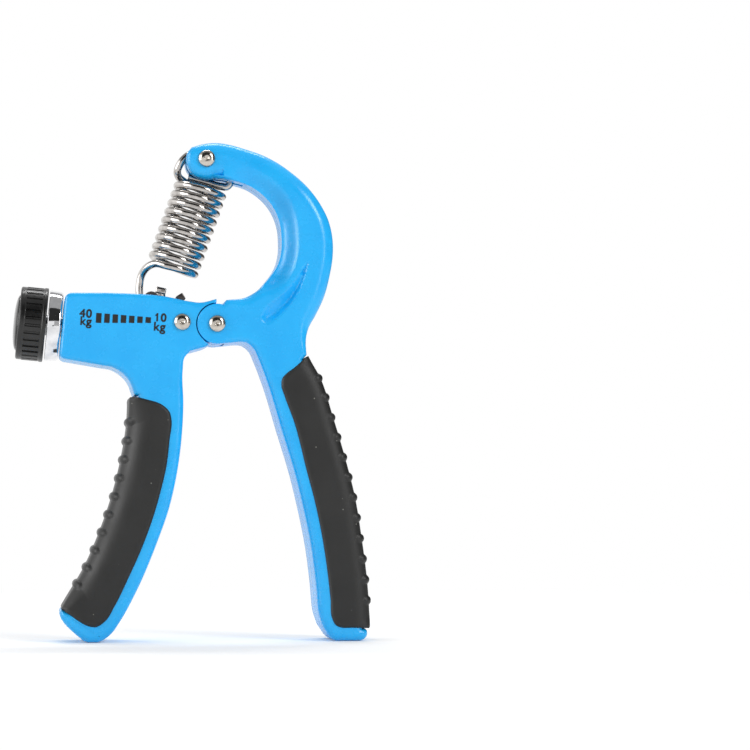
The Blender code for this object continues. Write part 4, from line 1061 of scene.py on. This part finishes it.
def addCard(name, place, target, size, tone):
    # a dark or bright card that only reflections see
    bm = bmesh.new()
    bmesh.ops.create_grid(bm, x_segments=1, y_segments=1, size=0.5)
    turn = facing(place, target).to_matrix().to_4x4()
    spot = Matrix.Translation(place) @ turn @ Matrix.Diagonal((*size, 1, 1))
    bmesh.ops.transform(bm, matrix=spot, verts=bm.verts)
    card = placed(name, meshOf(name, bm))
    made = bpy.data.materials.new(name)
    tree = emptyTree(made)
    addNode(tree, "ShaderNodeOutputMaterial", None, {"Surface": emission(tree, tone, 1.0)})
    card.data.materials.append(made)
    card.visible_camera = False
    card.visible_diffuse = False
    card.visible_shadow = False


def addWorld():
    # white to the camera and in reflections, dimmer as a light
    world = bpy.data.worlds.new("studio")
    bpy.context.scene.world = world
    tree = emptyTree(world)
    fill, white = (addNode(tree, "ShaderNodeBackground", None, {"Color": (1, 1, 1, 1), "Strength": level}).outputs[0]
                   for level in (stageShape["fill"], 1.0))
    mix = addNode(tree, "ShaderNodeMixShader", None, {0: seenDirectly(tree), 1: fill, 2: white})
    addNode(tree, "ShaderNodeOutputWorld", None, {"Surface": mix.outputs[0]})


cameraShape = {"place": (-0.050, -0.790, 0.043), "lens": 127.2, "sensor": 36.0, "picture": 750,
               "sees": (0.00695, -0.0117, 0.0936), "at": (217.6, 323.3)}


def addCamera():
    # turned, level, so that a known point lands on its pixel of the picture
    s = cameraShape
    data = bpy.data.cameras.new("camera")
    data.lens = s["lens"]
    data.sensor_width = s["sensor"]
    data.clip_start, data.clip_end = 0.01, 50.0
    camera = placed("camera", data)
    camera.location = s["place"]
    focal = s["lens"] / s["sensor"] * s["picture"]
    way = Vector(s["sees"]) - Vector(s["place"])
    yaw, pitch = math.atan2(way.x, way.y), math.asin(way.z / way.length)
    for _ in range(60):
        ahead = Vector((math.sin(yaw) * math.cos(pitch), math.cos(yaw) * math.cos(pitch), math.sin(pitch)))
        right = ahead.cross(Vector((0, 0, 1))).normalized()
        up = right.cross(ahead)
        px = s["picture"] / 2 + focal * way.dot(right) / way.dot(ahead)
        py = s["picture"] / 2 - focal * way.dot(up) / way.dot(ahead)
        yaw -= (s["at"][0] - px) / focal
        pitch += (s["at"][1] - py) / focal
    camera.rotation_mode = "QUATERNION"
    camera.rotation_quaternion = ahead.to_track_quat("-Z", "Y")
    bpy.context.scene.camera = camera


addStage()
addWorld()
for name, lamp in stageShape["lamps"].items():
    addLight(name, *lamp)
for name, card in stageShape["cards"].items():
    addCard(name, *card)
addCamera()
bpy.context.scene.view_settings.view_transform = "Standard"
print("stage ready")
